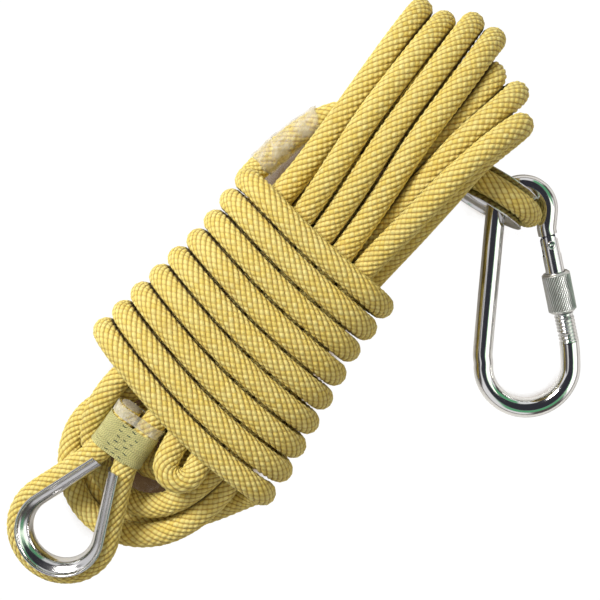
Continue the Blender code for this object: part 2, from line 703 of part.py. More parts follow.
AX, AY, AZ = hook_axes()


def hp(x, y, z=0.0):
    """Hook plane to the object's frame, mm."""
    return SEAT + AX * (x - THROAT[0]) + AY * (y - THROAT[1]) + AZ * z


def gp(t, inward, z=0.0):
    """Gate frame: t along the gate from the rivet, inward to the hook's inside."""
    q = G_HINGE + G_DIR * t + G_IN * inward
    return hp(q[0], q[1], z)


GT, GI, GZ = unit(gp(1, 0) - gp(0, 0)), unit(gp(0, 1) - gp(0, 0)), AZ
HINGE = gp(0, 0)


def gate_box(name, t0, t1, i0, i1, z0, z1):
    vs = [gp(t, i, z) for t in (t0, t1) for i in (i0, i1) for z in (z0, z1)]
    fs = [(0, 1, 3, 2), (4, 6, 7, 5), (0, 4, 5, 1), (2, 3, 7, 6), (0, 2, 6, 4), (1, 5, 7, 3)]
    return add(name, vs, fs, None, triangulate=False)


def gate_prism(name, outline, z0, z1):
    """Outline of (t, inward) points extruded through the gate's thickness."""
    n = len(outline)
    vs = [gp(t, i, z) for z in (z0, z1) for t, i in outline]
    fs = [tuple(range(n)), tuple(reversed(range(n, 2 * n)))]
    fs += [(k, (k + 1) % n, n + (k + 1) % n, n + k) for k in range(n)]
    return add(name, vs, fs, None, triangulate=False)


def gate_round(name, stations, sides, kind=None, origin=(0, 0, 0)):
    """Solid of revolution on the gate's axis from (t, r) stations."""
    prof = [[(r * math.cos(2 * math.pi * k / sides), r * math.sin(2 * math.pi * k / sides)) for k in range(sides)] for t, r in stations]
    cs = [gp(t, 0) for t, r in stations]
    v, f = sweep_profile(cs, [GI] * len(cs), [GZ] * len(cs), prof)
    return add(name, v, f, kind, origin, triangulate=kind is not None)


# bar, with thread on the nose
line = thin_out(BAR, 0.12, 11.0, 16.0)
tip = np.array([*(G_HINGE + G_DIR * LAP0), 0.0])
far = np.array([*(G_HINGE + G_DIR * STRAIGHT), 0.0])
keep = [q for q in line if np.dot(q[:2] - G_HINGE, G_DIR) < -1 or np.dot(q[:2] - G_HINGE, G_DIR) > STRAIGHT + 0.6 or abs(np.dot(q[:2] - G_HINGE, G_IN)) > 3]
pts3 = list(keep)
total = len(keep)
radii = [WIRE_R] * total
radii[0] = GATE_R
t = STRAIGHT
while t > LAP0 + 0.05:
    k = round((STRAIGHT - t) / (THREAD_PITCH / 2))
    pts3.append(np.array([*(G_HINGE + G_DIR * t), 0.0]))
    radii.append(THREAD_ROOT if k % 2 == 0 else THREAD_CREST)
    t -= THREAD_PITCH / 2
pts3.append(tip)
radii.append(THREAD_ROOT)
pw = np.array([hp(q[0], q[1]) for q in pts3])
v, f = tube_mesh(pw, radii, 10)
bar = add("hook_body", v, f, "steel", HOOK_C)
tang = [(-SEAM - 2.5, -3.0), (-SEAM - 2.5, 3.0)]
cam = []
for a in np.linspace(-100, 100, 21):
    # radius grows on the side the gate opens to, which drives the plunger
    r = 3.3 + PLUNGER_LIFT * min(1.0, max(0.0, a / GATE_OPEN)) if a < 60 else 3.3 + PLUNGER_LIFT * max(0.0, (100 - a) / 40.0)
    cam.append((r * math.cos(math.radians(a)), r * math.sin(math.radians(a))))
outline = [(-SEAM - 2.5, -3.0)] + cam + [(-SEAM - 2.5, 3.0)]
tg = gate_prism("tang_form", outline, -TANG_T / 2, TANG_T / 2)
cut(bar, [tg], "UNION")
hole = gate_prism("rivet_hole", [(1.6 * math.cos(2 * math.pi * k / 12), 1.6 * math.sin(2 * math.pi * k / 12)) for k in range(12)], -9, 9)
lap = gate_box("lap_form", LAP0 - 3, LAP1 + 0.4, -0.2, 8, -8, 8)
cut(bar, [hole, lap])

# gate: barrel with a fork for the tang, a bore for spring and plunger, a lap at its tip
st = [(-GATE_R, GATE_R), (26.0, GATE_R)]
t = 26.6
k = 0
while t < LAP1 - 0.6:
    st.append((t, THREAD_ROOT if k % 2 == 0 else THREAD_CREST))
    t += THREAD_PITCH / 2
    k += 1
st.append((LAP1 - 0.2, THREAD_ROOT))
gate = gate_round("gate_body", st, 14, "steel", HINGE)
nose_round = [(GATE_R * math.cos(math.radians(a)), GATE_R * math.sin(math.radians(a))) for a in np.linspace(90, 270, 11)]
keep_form = gate_prism("gate_end_form", [(x, y * 1.02) for x, y in nose_round] + [(0.3, -8), (60, -8), (60, 8), (0.3, 8)], -8, 8)
cut(gate, [keep_form], "INTERSECT")
slot = gate_box("slot_form", -9, 5.2, -9, 9, -SLOT_T / 2, SLOT_T / 2)
lap2 = gate_box("gate_lap_form", LAP0 - 0.4, LAP1 + 4, -9, 0.15, -9, 9)
bore = gate_round("bore_form", [(4.6, 2.3), (17.0, 2.3)], 12)
hole = gate_prism("gate_rivet_hole", [(1.6 * math.cos(2 * math.pi * k / 12), 1.6 * math.sin(2 * math.pi * k / 12)) for k in range(12)], -9, 9)
cut(gate, [slot, lap2, bore, hole])

# hinge rivet with two domed heads
prof = [(-5.35, 0.9), (-5.15, 1.7), (-4.75, 2.15), (-4.72, RIVET_R), (4.72, RIVET_R), (4.75, 2.15), (5.15, 1.7), (5.35, 0.9)]
pr = [[(r * math.cos(2 * math.pi * k / 12), r * math.sin(2 * math.pi * k / 12)) for k in range(12)] for z, r in prof]
cs = [HINGE + AZ * z for z, r in prof]
v, f = sweep_profile(cs, [GI] * len(cs), [GT] * len(cs), pr)
add("gate_rivet", v, f, "steel", HOOK_C)

# plunger and spring in the gate's bore
gate_round("gate_plunger", [(4.25, 0.6), (5.6, 1.2), (6.2, 2.0), (8.6, 2.0), (8.7, 0.75), (10.2, 0.75)], 10, "spring_steel", gp(4.25, 0))
turns, per = 4.0, 9
hel = []
for k in range(int(turns * per) + 1):
    a = 2 * math.pi * k / per
    tt = 9.35 + (16.3 - 9.35) * k / (turns * per)
    hel.append(gp(tt, 1.65 * math.cos(a), 1.65 * math.sin(a)))
v, f = tube_mesh(np.array(hel), [0.34] * len(hel), 5)
add("gate_spring", v, f, "spring_steel", gp(16.6, 0))

# locking sleeve, drawn back up the gate
S0 = 23.8 - SLEEVE_LEN / 2
S1 = S0 + SLEEVE_LEN
outer = [(S0, SLEEVE_R - 1.0), (S0 + 0.9, SLEEVE_R), (S1 - 0.9, SLEEVE_R), (S1, SLEEVE_R - 1.0)]
inner = [(S1, SLEEVE_BORE + 0.3), (S1 - 0.8, SLEEVE_BORE), (S0 + 0.8, SLEEVE_BORE), (S0, SLEEVE_BORE + 0.3)]
sides = 22
verts, faces, rings = [], [], []
for t, r in outer + inner:
    base = len(verts)
    for k in range(sides):
        a = 2 * math.pi * k / sides
        verts.append(gp(t, r * math.cos(a), r * math.sin(a)))
    rings.append(list(range(base, base + sides)))
for a, b in zip(rings, rings[1:] + rings[:1]):
    for k in range(sides):
        faces.append((a[k], a[(k + 1) % sides], b[(k + 1) % sides], b[k]))
add("locking_sleeve", verts, faces, "satin_steel", gp(23.8, 0))

# ---- stand the whole on its own box's bottom centre -------------------------
bpy.context.view_layer.update()
_pts = np.array([ob.matrix_world @ v.co for ob in bpy.data.objects if ob.type == "MESH" for v in ob.data.vertices])
SHIFT = Vector((-(_pts[:, 0].min() + _pts[:, 0].max()) / 2, -(_pts[:, 1].min() + _pts[:, 1].max()) / 2, -_pts[:, 2].min()))
for ob in bpy.data.objects:
    ob.location += SHIFT
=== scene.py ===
"""Looks for the climbing rope: braided rope with two thimble eyes, coiled and
wrapped with nine turns of its own tail, and a screw-lock snap hook on one eye.

Lengths are millimetres in the drawing frame of the part; row() turns them into
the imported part's frame, in metres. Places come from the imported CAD: the hinge
rivet is a body of revolution about the gate's hinge, so its box centre ties the
two frames together.
"""

import math

import bmesh
import bpy
import numpy as np
from mathutils import Matrix, Vector


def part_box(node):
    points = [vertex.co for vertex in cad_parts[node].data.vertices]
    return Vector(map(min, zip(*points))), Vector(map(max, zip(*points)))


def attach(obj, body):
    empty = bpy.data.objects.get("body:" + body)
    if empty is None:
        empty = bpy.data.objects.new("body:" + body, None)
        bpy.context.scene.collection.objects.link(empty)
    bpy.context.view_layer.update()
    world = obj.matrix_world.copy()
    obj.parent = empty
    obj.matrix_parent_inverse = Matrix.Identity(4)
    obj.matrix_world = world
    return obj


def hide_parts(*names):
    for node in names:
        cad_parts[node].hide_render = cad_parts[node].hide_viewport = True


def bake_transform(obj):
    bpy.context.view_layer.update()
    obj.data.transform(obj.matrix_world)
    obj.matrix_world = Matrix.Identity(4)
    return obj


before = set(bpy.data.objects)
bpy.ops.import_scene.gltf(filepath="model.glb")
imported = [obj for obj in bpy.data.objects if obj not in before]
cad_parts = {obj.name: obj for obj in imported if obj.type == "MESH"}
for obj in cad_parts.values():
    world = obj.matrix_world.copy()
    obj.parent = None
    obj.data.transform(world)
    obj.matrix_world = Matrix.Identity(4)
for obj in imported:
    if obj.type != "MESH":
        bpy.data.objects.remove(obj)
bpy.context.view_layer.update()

MM = 0.001

# ---- driving dimensions, mm -------------------------------------------------
ROPE_R = 5.9           # sheath radius
BORE_R = 4.7           # inside of the sheath
CORE_R = 4.4           # load-bearing core
EYE_ROPE_R = 5.5       # sheath radius where the thimble squeezes it
THIMBLE_WALL = 1.1
THIMBLE_LIP = 8.3      # half width over the thimble's rolled edges
EYE_RI = 14.8          # inside radius of the thimble's round end
EYE_LEN = 40.2         # round end's centre to the thimble's point
EYE_OFF = 7.1          # thimble's inside face to the rope's centre
LEG = 6.2              # half spacing of the two ropes in the neck
WHIP_S0, WHIP_S1 = 45.5, 63.0
HOOK_WHIP_S1 = 59.5
JOINT_GAP = 6.3        # the eye's rounded rope end turns in this radius

FREE_C = np.array((-154.0, 12.5, 29.4))
FREE_PIVOT = np.array((-85.5, 15.0, 42.6))
HOOK_C = np.array((95.6, -51.5, 28.2))
HOOK_YAW = 6.3         # degrees the hook eye's plane is turned from Y
HOOK_NECK = 66.5       # round end's centre to the hook eye's joint

WIRE_R = 4.75          # snap hook bar
GATE_R = 4.5
TANG_T = 3.6           # hinge tang between the gate's two cheeks
SLOT_T = 4.2
RIVET_R = 1.35
SLEEVE_R, SLEEVE_BORE, SLEEVE_LEN = 6.85, 5.1, 19.7
SLEEVE_TRAVEL = 13.0
THREAD_CREST, THREAD_ROOT, THREAD_PITCH = 4.75, 4.25, 1.75
GATE_OPEN = 28.0
PLUNGER_LIFT = 1.2

# ---- the long run's course --------------------------------------------------

D = 12.35          # least centre distance of two rope turns, mm
N_WRAPS = 9
WRAP_PITCH = 12.4
WRAP_X0 = -74.2
WRAP_ZC = 30.7
WRAP_B = 24.4      # half height of the wrap centre line
STEP = 6.0


def wrap_half(i):
    return 54.0 - 11.0 * min(1.0, i / 6.0) if i < 6 else 43.0


def catmull(points, step):
    p = np.array(points, float)
    a = np.vstack([2 * p[0] - p[1], p, 2 * p[-1] - p[-2]])
    out = []
    for k in range(1, len(a) - 2):
        p0, p1, p2, p3 = a[k - 1], a[k], a[k + 1], a[k + 2]
        n = max(2, int(np.linalg.norm(p2 - p1) / 1.0))
        for t in np.linspace(0, 1, n, endpoint=False):
            d1 = math.sqrt(np.linalg.norm(p1 - p0)) + 1e-9
            d2 = math.sqrt(np.linalg.norm(p2 - p1)) + 1e-9
            d3 = math.sqrt(np.linalg.norm(p3 - p2)) + 1e-9
            m1 = d2 * ((p1 - p0) / d1 - (p2 - p0) / (d1 + d2) + (p2 - p1) / d2)
            m2 = d2 * ((p2 - p1) / d2 - (p3 - p1) / (d2 + d3) + (p3 - p2) / d3)
            h = t * t * (3 - 2 * t)
            out.append(
                (1 - h) * p1 + h * p2
                + (t**3 - 2 * t * t + t) * m1 + (t**3 - t * t) * m2
            )
    out.append(a[-2])
    return resample(np.array(out), step)


def resample(p, step):
    s = np.concatenate([[0], np.cumsum(np.linalg.norm(np.diff(p, axis=0), axis=1))])
    n = max(2, int(round(s[-1] / step)) + 1)
    t = np.linspace(0, s[-1], n)
    return np.stack([np.interp(t, s, p[:, c]) for c in range(3)], axis=1)


SLOT = {}
for k in range(5):
    SLOT["T%d" % (k + 1)] = (22.1 - 12.3 * k, WRAP_ZC + 10.9)
for k in range(6):
    SLOT["M%d" % (k + 1)] = (30.8 - 12.3 * k, WRAP_ZC)
for k in range(5):
    SLOT["B%d" % (k + 1)] = (24.6 - 12.3 * k, WRAP_ZC - 10.9)
# finger: top slot, return slot, tip (x, y), top height at the tip, (y, z) of the
# top strand and of the return strand where they cross X = 96
FINGERS = [
    ("T1", "B1", 163, 25.0, 50, 7, (25, 51.5), (27, 6.2)),
    ("T2", "B2", 164, 14.6, 53, 7, (12.8, 54), (15, 6.2)),
    ("T3", "B3", 171, 4.0, 54, 7, (0.5, 57), (2.7, 6.2)),
    ("T4", "B4", 171, -8.2, 56, 7, (-11.5, 60), (-9.6, 6.2)),
    ("M4", "M3", 159, -22.5, 53, 27, (-17, 49), (10, 44.5)),
    ("M5", "M2", 158, -34, 58, 30, (-23, 63.5), (-2, 47)),
    ("T5", "M6", 144, -44.5, 66, 41, (-33, 69.5), (-39, 58.7)),
]


def finger(k, forward):
    a, b, xt, yt, zt, zb, c96, r96 = FINGERS[k]
    ya, za = SLOT[a]
    yb, zb0 = SLOT[b]
    r = (zt - zb) / 2.0
    xc = xt - 6.0 - r
    zc = (zt + zb) / 2.0
    top = [(-20, ya, za), (10, ya, za), (34, ya, za + 1),
           (64, 0.5 * (ya + c96[0]), 0.5 * (za + c96[1]) + 1),
           (94, c96[0], c96[1])]
    tip = [(xc, yt, zt), (xc + 0.72 * r, yt, zc + 0.72 * r), (xc + r, yt, zc),
           (xc + 0.72 * r, yt, zc - 0.72 * r), (xc, yt, zb)]
    ret = [(94, r96[0], r96[1]), (64, 0.5 * (yb + r96[0]), 0.5 * (zb0 + r96[1])),
           (34, yb, zb0), (10, yb, zb0), (-20, yb, zb0)]
    pts = top + tip + ret
    return pts if forward else pts[::-1]


def main_controls(eye_end, tail):
    """Control stations of the long run, from the free eye's neck to the tail."""
    c = []
    c += eye_end
    c += [(-60, 13.5, SLOT["T2"][1] + 0.5)] + finger(1, True)                    # T2 > B2
    c += [(-74, 15, 17), (-96, 19, 6.3), (-114, 15, 6.2), (-125, 0, 6.2), (-114, -15, 6.2), (-96, -19, 6.3), (-74, -14, 17)]
    c += finger(3, False)                                                      # B4 > T4
    c += [(-74, -14, 42), (-90, -23, 45), (-104, -28, 46.5), (-116, -22, 46), (-118, -11, 45), (-107, -5, 44.5), (-91, -4, 43.5), (-74, -1.5, 42)]
    c += finger(2, True)                                                       # T3 > B3
    c += [(-74, -1, 17), (-92, -2.5, 7), (-104, -2.5, 11), (-109, -2.5, 19.5), (-104, -2.5, 28), (-92, -3, 32), (-74, -5, 31)]
    c += finger(4, True)                                                       # M4 > M3
    c += [(-74, 9, 30), (-96, 13, 22), (-112, 11, 19), (-122, -3, 18.6), (-112, -16, 19), (-96, -18, 22), (-74, -18, 30)]
    c += finger(5, True)                                                       # M5 > M2
    c += [(-74, 24, 30), (-96, 38, 24), (-120, 43, 19), (-141, 32, 18.6), (-151, 6, 18.6), (-146, -20, 18.6), (-124, -38, 19), (-98, -40, 24), (-74, -33, 30)]
    c += finger(6, False)                                                      # M6 > T5
    c += [(-74, -26, 41), (-96, -29, 34), (-116, -29, 22), (-132, -17, 18.8), (-138, 0, 18.6), (-132, 17, 18.8), (-116, 29, 22), (-96, 29, 34), (-74, 26, 41)]
    c += finger(0, True)                                                       # T1 > B1
    c += [(-74, 30, 16), (-96, 36, 7), (-122, 37, 6.2), (-140, 24, 6.2), (-146, 0, 6.2), (-140, -22, 6.2), (-124, -36, 6.2), (-108, -38, 6.2), (-95, -42, 6.4), (-87, -49, 10.5)]
    # wraps, one turn after another
    w = []
    for i in range(N_WRAPS):
        xc = WRAP_X0 + WRAP_PITCH * i
        s = 8.0 - 4.0 * i / (N_WRAPS - 1)
        s2 = 8.0 - 4.0 * min(1.0, (i + 1) / (N_WRAPS - 1))
        last = i == N_WRAPS - 1
        for q in range(0, 18 if last else 32):
            ph = math.pi - 2 * math.pi * (q + (2 if i == 0 else 0)) / 32.0
            if i == 0 and q >= 30:
                break
            f = (math.pi - ph) / (2 * math.pi)
            a = wrap_half(i + f)
            cy, cz = math.cos(ph), math.sin(ph)
            m = (abs(cy) ** 2.5 + abs(cz) ** 2.5) ** (-1 / 2.5)
            y, z = a * cy * m, WRAP_ZC + WRAP_B * cz * m
            if cz >= 0:
                x = xc + s * (y / a)
            else:
                u = 0.5 - 0.5 * y / a
                x = (xc + s) * (1 - u) + (xc + WRAP_PITCH - s2) * u
            x -= (3.6 - 0.25 * i) * (1 - (y / a) ** 2) * max(0.0, cz)
            w.append((x, y, z))
    n0 = len(c)
    c += w
    c += tail
    return c, n0, n0 + len(w)


def relax(p, fixed_w, free_pts, extra, iters=400, step=STEP):
    """p: points of the run; fixed_w: how firmly each keeps its station (0..1);
    free_pts: spheres that don't move (x, y, z, least distance, 1 where the run's own
    ends join them); extra: how much thicker the run is at each point."""
    p0 = p.copy()
    n = len(p)
    skip = int(math.ceil(2.2 * D / step))
    idx = np.arange(n)
    pairs = None
    mob = 1.0 - fixed_w
    for it in range(iters):
        if it % 12 == 0:
            d = np.linalg.norm(p[:, None, :] - p[None, :, :], axis=2)
            i, j = np.where((d < D + 7.0) & (idx[None, :] - idx[:, None] > skip))
            pairs = (i, j)
            if len(free_pts):
                df = np.linalg.norm(p[:, None, :] - free_pts[None, :, :3], axis=2)
                own = (free_pts[None, :, 4] > 0) & ((idx < 10) | (idx > n - 11))[:, None]
                fi, fj = np.where((df < free_pts[None, :, 3] + 7.0) & ~own)
        # smooth
        lap = np.zeros_like(p)
        lap[1:-1] = 0.5 * (p[:-2] + p[2:]) - p[1:-1]
        bi = np.zeros_like(p)
        bi[2:-2] = lap[2:-2] - 0.5 * (lap[1:-3] + lap[3:-1])
        p = p + (mob[:, None]) * (0.05 * lap + 0.45 * bi)
        # stations
        hold = np.where(fixed_w > 0, fixed_w * 0.3, 0.0)
        p = p + hold[:, None] * (p0 - p)
        # contacts: nearest points of the two short pieces
        for _ in range(2):
            i, j = pairs
            ti = np.zeros_like(p)
            ti[1:-1] = p[2:] - p[:-2]
            ti[0], ti[-1] = p[1] - p[0], p[-1] - p[-2]
            ti /= np.linalg.norm(ti, axis=1)[:, None] + 1e-9
            v = p[j] - p[i]
            # take out the part along the rope so offset stations count as parallel
            tm = ti[i] + np.sign(np.sum(ti[i] * ti[j], axis=1))[:, None] * ti[j]
            tm /= np.linalg.norm(tm, axis=1)[:, None] + 1e-9
            par = np.abs(np.sum(ti[i] * ti[j], axis=1)) > 0.8
            al = np.sum(v * tm, axis=1)
            al = np.where(par, np.clip(al, -0.5 * step, 0.5 * step), 0.0)
            v2 = v - al[:, None] * tm
            dist = np.linalg.norm(v2, axis=1) + 1e-9
            pen = np.clip(D + extra[i] + extra[j] - dist, 0, None)
            push = (v2 / dist[:, None]) * pen[:, None]
            wi, wj = mob[i], mob[j]
            tot = wi + wj + 1e-6
            acc = np.zeros_like(p)
            cnt = np.zeros(n)
            m = pen > 0
            np.add.at(acc, i[m], -push[m] * (wi / tot)[m][:, None])
            np.add.at(acc, j[m], push[m] * (wj / tot)[m][:, None])
            np.add.at(cnt, i[m], 1)
            np.add.at(cnt, j[m], 1)
            if len(free_pts):
                v = p[fi] - free_pts[fj, :3]
                dist = np.linalg.norm(v, axis=1) + 1e-9
                pen = np.clip(free_pts[fj, 3] + extra[fi] - dist, 0, None)
                m = pen > 0
                np.add.at(acc, fi[m], (v / dist[:, None] * pen[:, None])[m])
                np.add.at(cnt, fi[m], 1)
            p = p + 0.9 * acc / np.maximum(1, cnt * 0.55)[:, None] * (mob[:, None] > 0.02)
            p[:, 2] = np.maximum(p[:, 2], 6.15 + extra)
    return p


# ---- eyes -------------------------------------------------------------------
UP = np.array((0.0, 0.0, 1.0))
EYE_ALPHA = math.asin(EYE_RI / EYE_LEN)


def unit(v):
    v = np.asarray(v, float)
    return v / np.linalg.norm(v)


def leg_half(s):
    """Half spacing of the rope's two legs at s from the round end's centre."""
    apex = (EYE_RI + EYE_OFF) / math.sin(EYE_ALPHA)
    raw = (apex - s) * math.tan(EYE_ALPHA)
    k = (raw - LEG) / 1.2
    return LEG + 1.2 * (k if k > 30 else math.log1p(math.exp(k)))


def drop(off, s_end, arc_steps, leg_steps):
    """Half of a teardrop, offset off from the thimble's inside face: (s, l)."""
    r = EYE_RI + off
    th0 = math.pi / 2 - EYE_ALPHA
    pts = [(r * math.cos(t), r * math.sin(t)) for t in np.linspace(math.pi, th0, arc_steps)]
    s0 = pts[-1][0]
    for s in np.linspace(s0, s_end, leg_steps + 1)[1:]:
        if off > 3:
            pts.append((s, leg_half(s)))
        else:
            pts.append((s, (EYE_LEN - s) * math.tan(EYE_ALPHA) + off / math.cos(EYE_ALPHA)))
    return pts


class Eye:
    def __init__(self, centre, neck_dir, lat, pivot_s):
        self.c, self.e, self.lat = centre, unit(neck_dir), unit(lat)
        self.n = np.cross(self.e, self.lat)
        self.ps = pivot_s

    def at(self, s, l, n=0.0):
        return self.c + self.e * s + self.lat * l + self.n * n


_e = unit(FREE_PIVOT - FREE_C)
_lat = unit(np.cross(UP, _e))
FREE = Eye(FREE_C, _e, _lat, float(np.linalg.norm(FREE_PIVOT - FREE_C)))
_h = math.radians(HOOK_YAW)
HOOK = Eye(HOOK_C, (-math.sin(_h), math.cos(_h), 0.0), UP, HOOK_NECK)


def main_run():
    """Centre line of the long run, mm, from the free eye to the hook eye."""
    obs = []
    for eye, s1, whip in ((FREE, FREE.ps + 2, WHIP_S1), (HOOK, HOOK.ps + 0.5, HOOK_WHIP_S1)):
        for s, l in drop(EYE_OFF, s1, 24, 34):
            near = 13.9 if s > WHIP_S0 - 2 else 12.7
            if eye is HOOK and s > WHIP_S0 - 2:
                near = 14.1
            for sign in (-1, 1):
                q = eye.at(s, sign * l)
                obs.append((*q, near, 1.0 if sign < 0 and s > eye.ps - 9 else 0.0))
        for off, (s, l) in [(4.0, q) for q in drop(4.0 - 1e-9, 38.0, 20, 8)]:
            l = (EYE_LEN - s) * math.tan(EYE_ALPHA) + off / math.cos(EYE_ALPHA) if s > EYE_RI else l
            for sign in (-1, 1):
                for n in (-5.6, 5.6):
                    obs.append((*eye.at(s, sign * l, n), 9.9, 0.0))
    f_dir = unit((1.0, -0.02, -0.04))
    start = FREE.at(FREE.ps, -LEG) + f_dir * JOINT_GAP
    end = HOOK.at(HOOK.ps, -LEG) + HOOK.e * JOINT_GAP
    tail = [(31, 46.5, 14), (42, 47, 13.5), (56, 42.5, 16), (70, 38, 20), (80, 34, 22),
            tuple(end + np.array((-3.5, 6.0, 0.0))), tuple(end)]
    c, n0, n1 = main_controls([tuple(start)], tail)
    cw = np.zeros(len(c))
    cw[0] = cw[-1] = 1.0
    cw[n0:n1] = 0.55
    pts = catmull(c, STEP)
    pos = []
    for k in range(len(c)):
        lo = pos[-1] if pos else 0
        hi = min(len(pts), lo + 14)
        pos.append(lo + int(np.argmin(np.linalg.norm(pts[lo:hi] - np.array(c[k]), axis=1))))
    w = np.interp(np.arange(len(pts)), pos, cw)
    w[0] = w[-1] = 1.0
    w[1] = w[-2] = 0.98
    extra = np.zeros(len(pts))
    extra[pos[n1 - 1] + 2:] = 1.5
    return relax(pts, w, np.array(obs), extra), pos[n1 - 1]


# ---- mesh helpers -----------------------------------------------------------
def frames(p):
    """Tangents and two side directions carried along p without twist."""
    t = np.zeros_like(p)
    t[1:-1] = p[2:] - p[:-2]
    t[0], t[-1] = p[1] - p[0], p[-1] - p[-2]
    t /= np.linalg.norm(t, axis=1)[:, None]
    u = np.zeros_like(p)
    a = np.array((0.0, 0.0, 1.0)) if abs(t[0][2]) < 0.8 else np.array((0.0, 1.0, 0.0))
    u[0] = unit(a - t[0] * np.dot(a, t[0]))
    for i in range(1, len(p)):
        v = u[i - 1] - t[i] * np.dot(u[i - 1], t[i])
        u[i] = unit(v)
    return t, u, np.cross(t, u)


def thin_out(p, sagitta=0.75, turn=33.0, longest=45.0):
    """Keep the fewest points of a smooth line that follow it closely."""
    keep = [0]
    i = 0
    while i < len(p) - 1:
        j = i + 1
        while j < len(p) - 1:
            k = j + 1
            chord = p[k] - p[i]
            ln = np.linalg.norm(chord)
            mid = p[i:k + 1] - p[i]
            away = mid - np.outer(mid @ chord / ln**2, chord)
            t0, t1 = unit(p[i + 1] - p[i]), unit(p[k] - p[k - 1])
            ang = math.degrees(math.acos(max(-1, min(1, float(np.dot(t0, t1))))))
            if np.linalg.norm(away, axis=1).max() > sagitta or ang > turn or ln > longest:
                break
            j = k
        keep.append(j)
        i = j
    return p[keep]


def smooth_line(p, step):
    """Chord-length spline through p, resampled."""
    return catmull([tuple(q) for q in p], step)


def sweep_profile(centres, us, vs, profiles, close_ends=True):
    """Loft of equal-count closed profiles; each profile is (u, v) pairs."""
    verts, faces, rings = [], [], []
    for c, u, v, prof in zip(centres, us, vs, profiles):
        base = len(verts)
        verts += [c + u * a + v * b for a, b in prof]
        rings.append(list(range(base, base + len(prof))))
    n = len(profiles[0])
    for a, b in zip(rings, rings[1:]):
        for k in range(n):
            faces.append((a[k], a[(k + 1) % n], b[(k + 1) % n], b[k]))
    if close_ends:
        faces.append(tuple(reversed(rings[0])))
        faces.append(tuple(rings[-1]))
    return verts, faces


def cut(ob, cutters, op="DIFFERENCE"):
    for c in cutters:
        c.hide_render = True
        c.display_type = "WIRE"
        mod = ob.modifiers.new(c.name, "BOOLEAN")
        mod.operation = op
        mod.solver = "EXACT"
        mod.object = c
    bpy.context.view_layer.update()
    dg = bpy.context.evaluated_depsgraph_get()
    me = bpy.data.meshes.new_from_object(ob.evaluated_get(dg))
    ob.modifiers.clear()
    old = ob.data
    mats = list(old.materials)
    ob.data = me
    ob.data.materials.clear()
    for m in mats:
        ob.data.materials.append(m)
    for c in cutters:
        bpy.data.objects.remove(c)


# ---- snap hook geometry, drawn in its own plane: x right, y up, z towards the viewer, origin at the top
# of the small bow's centre line
G_HINGE = np.array((14.5, -29.0))                 # rivet
G_DIR = unit((0.222, -0.975))                     # along the gate to its tip
G_IN = np.array((G_DIR[1], -G_DIR[0]))            # towards the hook's inside
SEAM, LAP0, LAP1, STRAIGHT = 4.9, 36.6, 44.3, 49.0


def bow(cx, cy, r, a0, a1, n):
    return [(cx + r * math.cos(math.radians(t)), cy + r * math.sin(math.radians(t))) for t in np.linspace(a0, a1, n)]


def bar_line():
    """Centre line of the bar from the hinge end round to the nose, (x, y)."""
    hinge = G_HINGE - G_DIR * SEAM
    pts = [tuple(hinge), tuple(hinge - G_DIR * 3.0)]
    pts += bow(0.8, -12.6, 12.4, 8, 172, 12)
    pts += [(-12.4, -20.5), (-13.6, -38.0), (-15.0, -58.0), (-16.2, -76.0), (-16.6, -84.0)]
    pts += bow(5.2, -88.6, 21.4, 176, 352, 17)
    nose = G_HINGE + G_DIR * STRAIGHT
    pts += [tuple(nose), tuple(G_HINGE + G_DIR * LAP0)]
    p3 = catmull([(x, y, 0.0) for x, y in pts], 1.0)
    return p3


BAR = bar_line()
# place the hook: the bar's point inside the thimble, and the slope to the floor
HX, HY = unit((0.607, -0.795, 0.0)), unit((0.795, 0.607, 0.0))
THROAT = np.array((-9.94, -6.4))                  # bar point held by the thimble
SEAT = HOOK.at(-5.9, -5.2, 0.9)                        # where it sits in the eye
BIG_BOW_Z = WIRE_R + 0.4


def hook_axes():
    drop_z = SEAT[2] - BIG_BOW_Z
    low = (5.2, -110.0)
    run = float(np.hypot(low[0] - THROAT[0], low[1] - THROAT[1]))
    tilt = math.asin(drop_z / run)
    # tip the hook's plane about its cross direction
    y = unit(HY * math.cos(tilt) + UP * math.sin(tilt))
    x = HX
    return x, y, np.cross(x, y)


AX, AY, AZ = hook_axes()


def hp(x, y, z=0.0):
    """Hook plane to the object's frame, mm."""
    return SEAT + AX * (x - THROAT[0]) + AY * (y - THROAT[1]) + AZ * z


def gp(t, inward, z=0.0):
    """Gate frame: t along the gate from the rivet, inward to the hook's inside."""
    q = G_HINGE + G_DIR * t + G_IN * inward
    return hp(q[0], q[1], z)


GT, GI, GZ = unit(gp(1, 0) - gp(0, 0)), unit(gp(0, 1) - gp(0, 0)), AZ
HINGE = gp(0, 0)


def gate_box(name, t0, t1, i0, i1, z0, z1):
    vs = [gp(t, i, z) for t in (t0, t1) for i in (i0, i1) for z in (z0, z1)]
    fs = [(0, 1, 3, 2), (4, 6, 7, 5), (0, 4, 5, 1), (2, 3, 7, 6), (0, 2, 6, 4), (1, 5, 7, 3)]
    return add(name, vs, fs, None, triangulate=False)


def gate_prism(name, outline, z0, z1):
    """Outline of (t, inward) points extruded through the gate's thickness."""
    n = len(outline)
    vs = [gp(t, i, z) for z in (z0, z1) for t, i in outline]
    fs = [tuple(range(n)), tuple(reversed(range(n, 2 * n)))]
    fs += [(k, (k + 1) % n, n + (k + 1) % n, n + k) for k in range(n)]
    return add(name, vs, fs, None, triangulate=False)


def gate_round(name, stations, sides, kind=None, origin=(0, 0, 0)):
    """Solid of revolution on the gate's axis from (t, r) stations."""
    prof = [[(r * math.cos(2 * math.pi * k / sides), r * math.sin(2 * math.pi * k / sides)) for k in range(sides)] for t, r in stations]
    cs = [gp(t, 0) for t, r in stations]
    v, f = sweep_profile(cs, [GI] * len(cs), [GZ] * len(cs), prof)
    return add(name, v, f, kind, origin, triangulate=kind is not None)


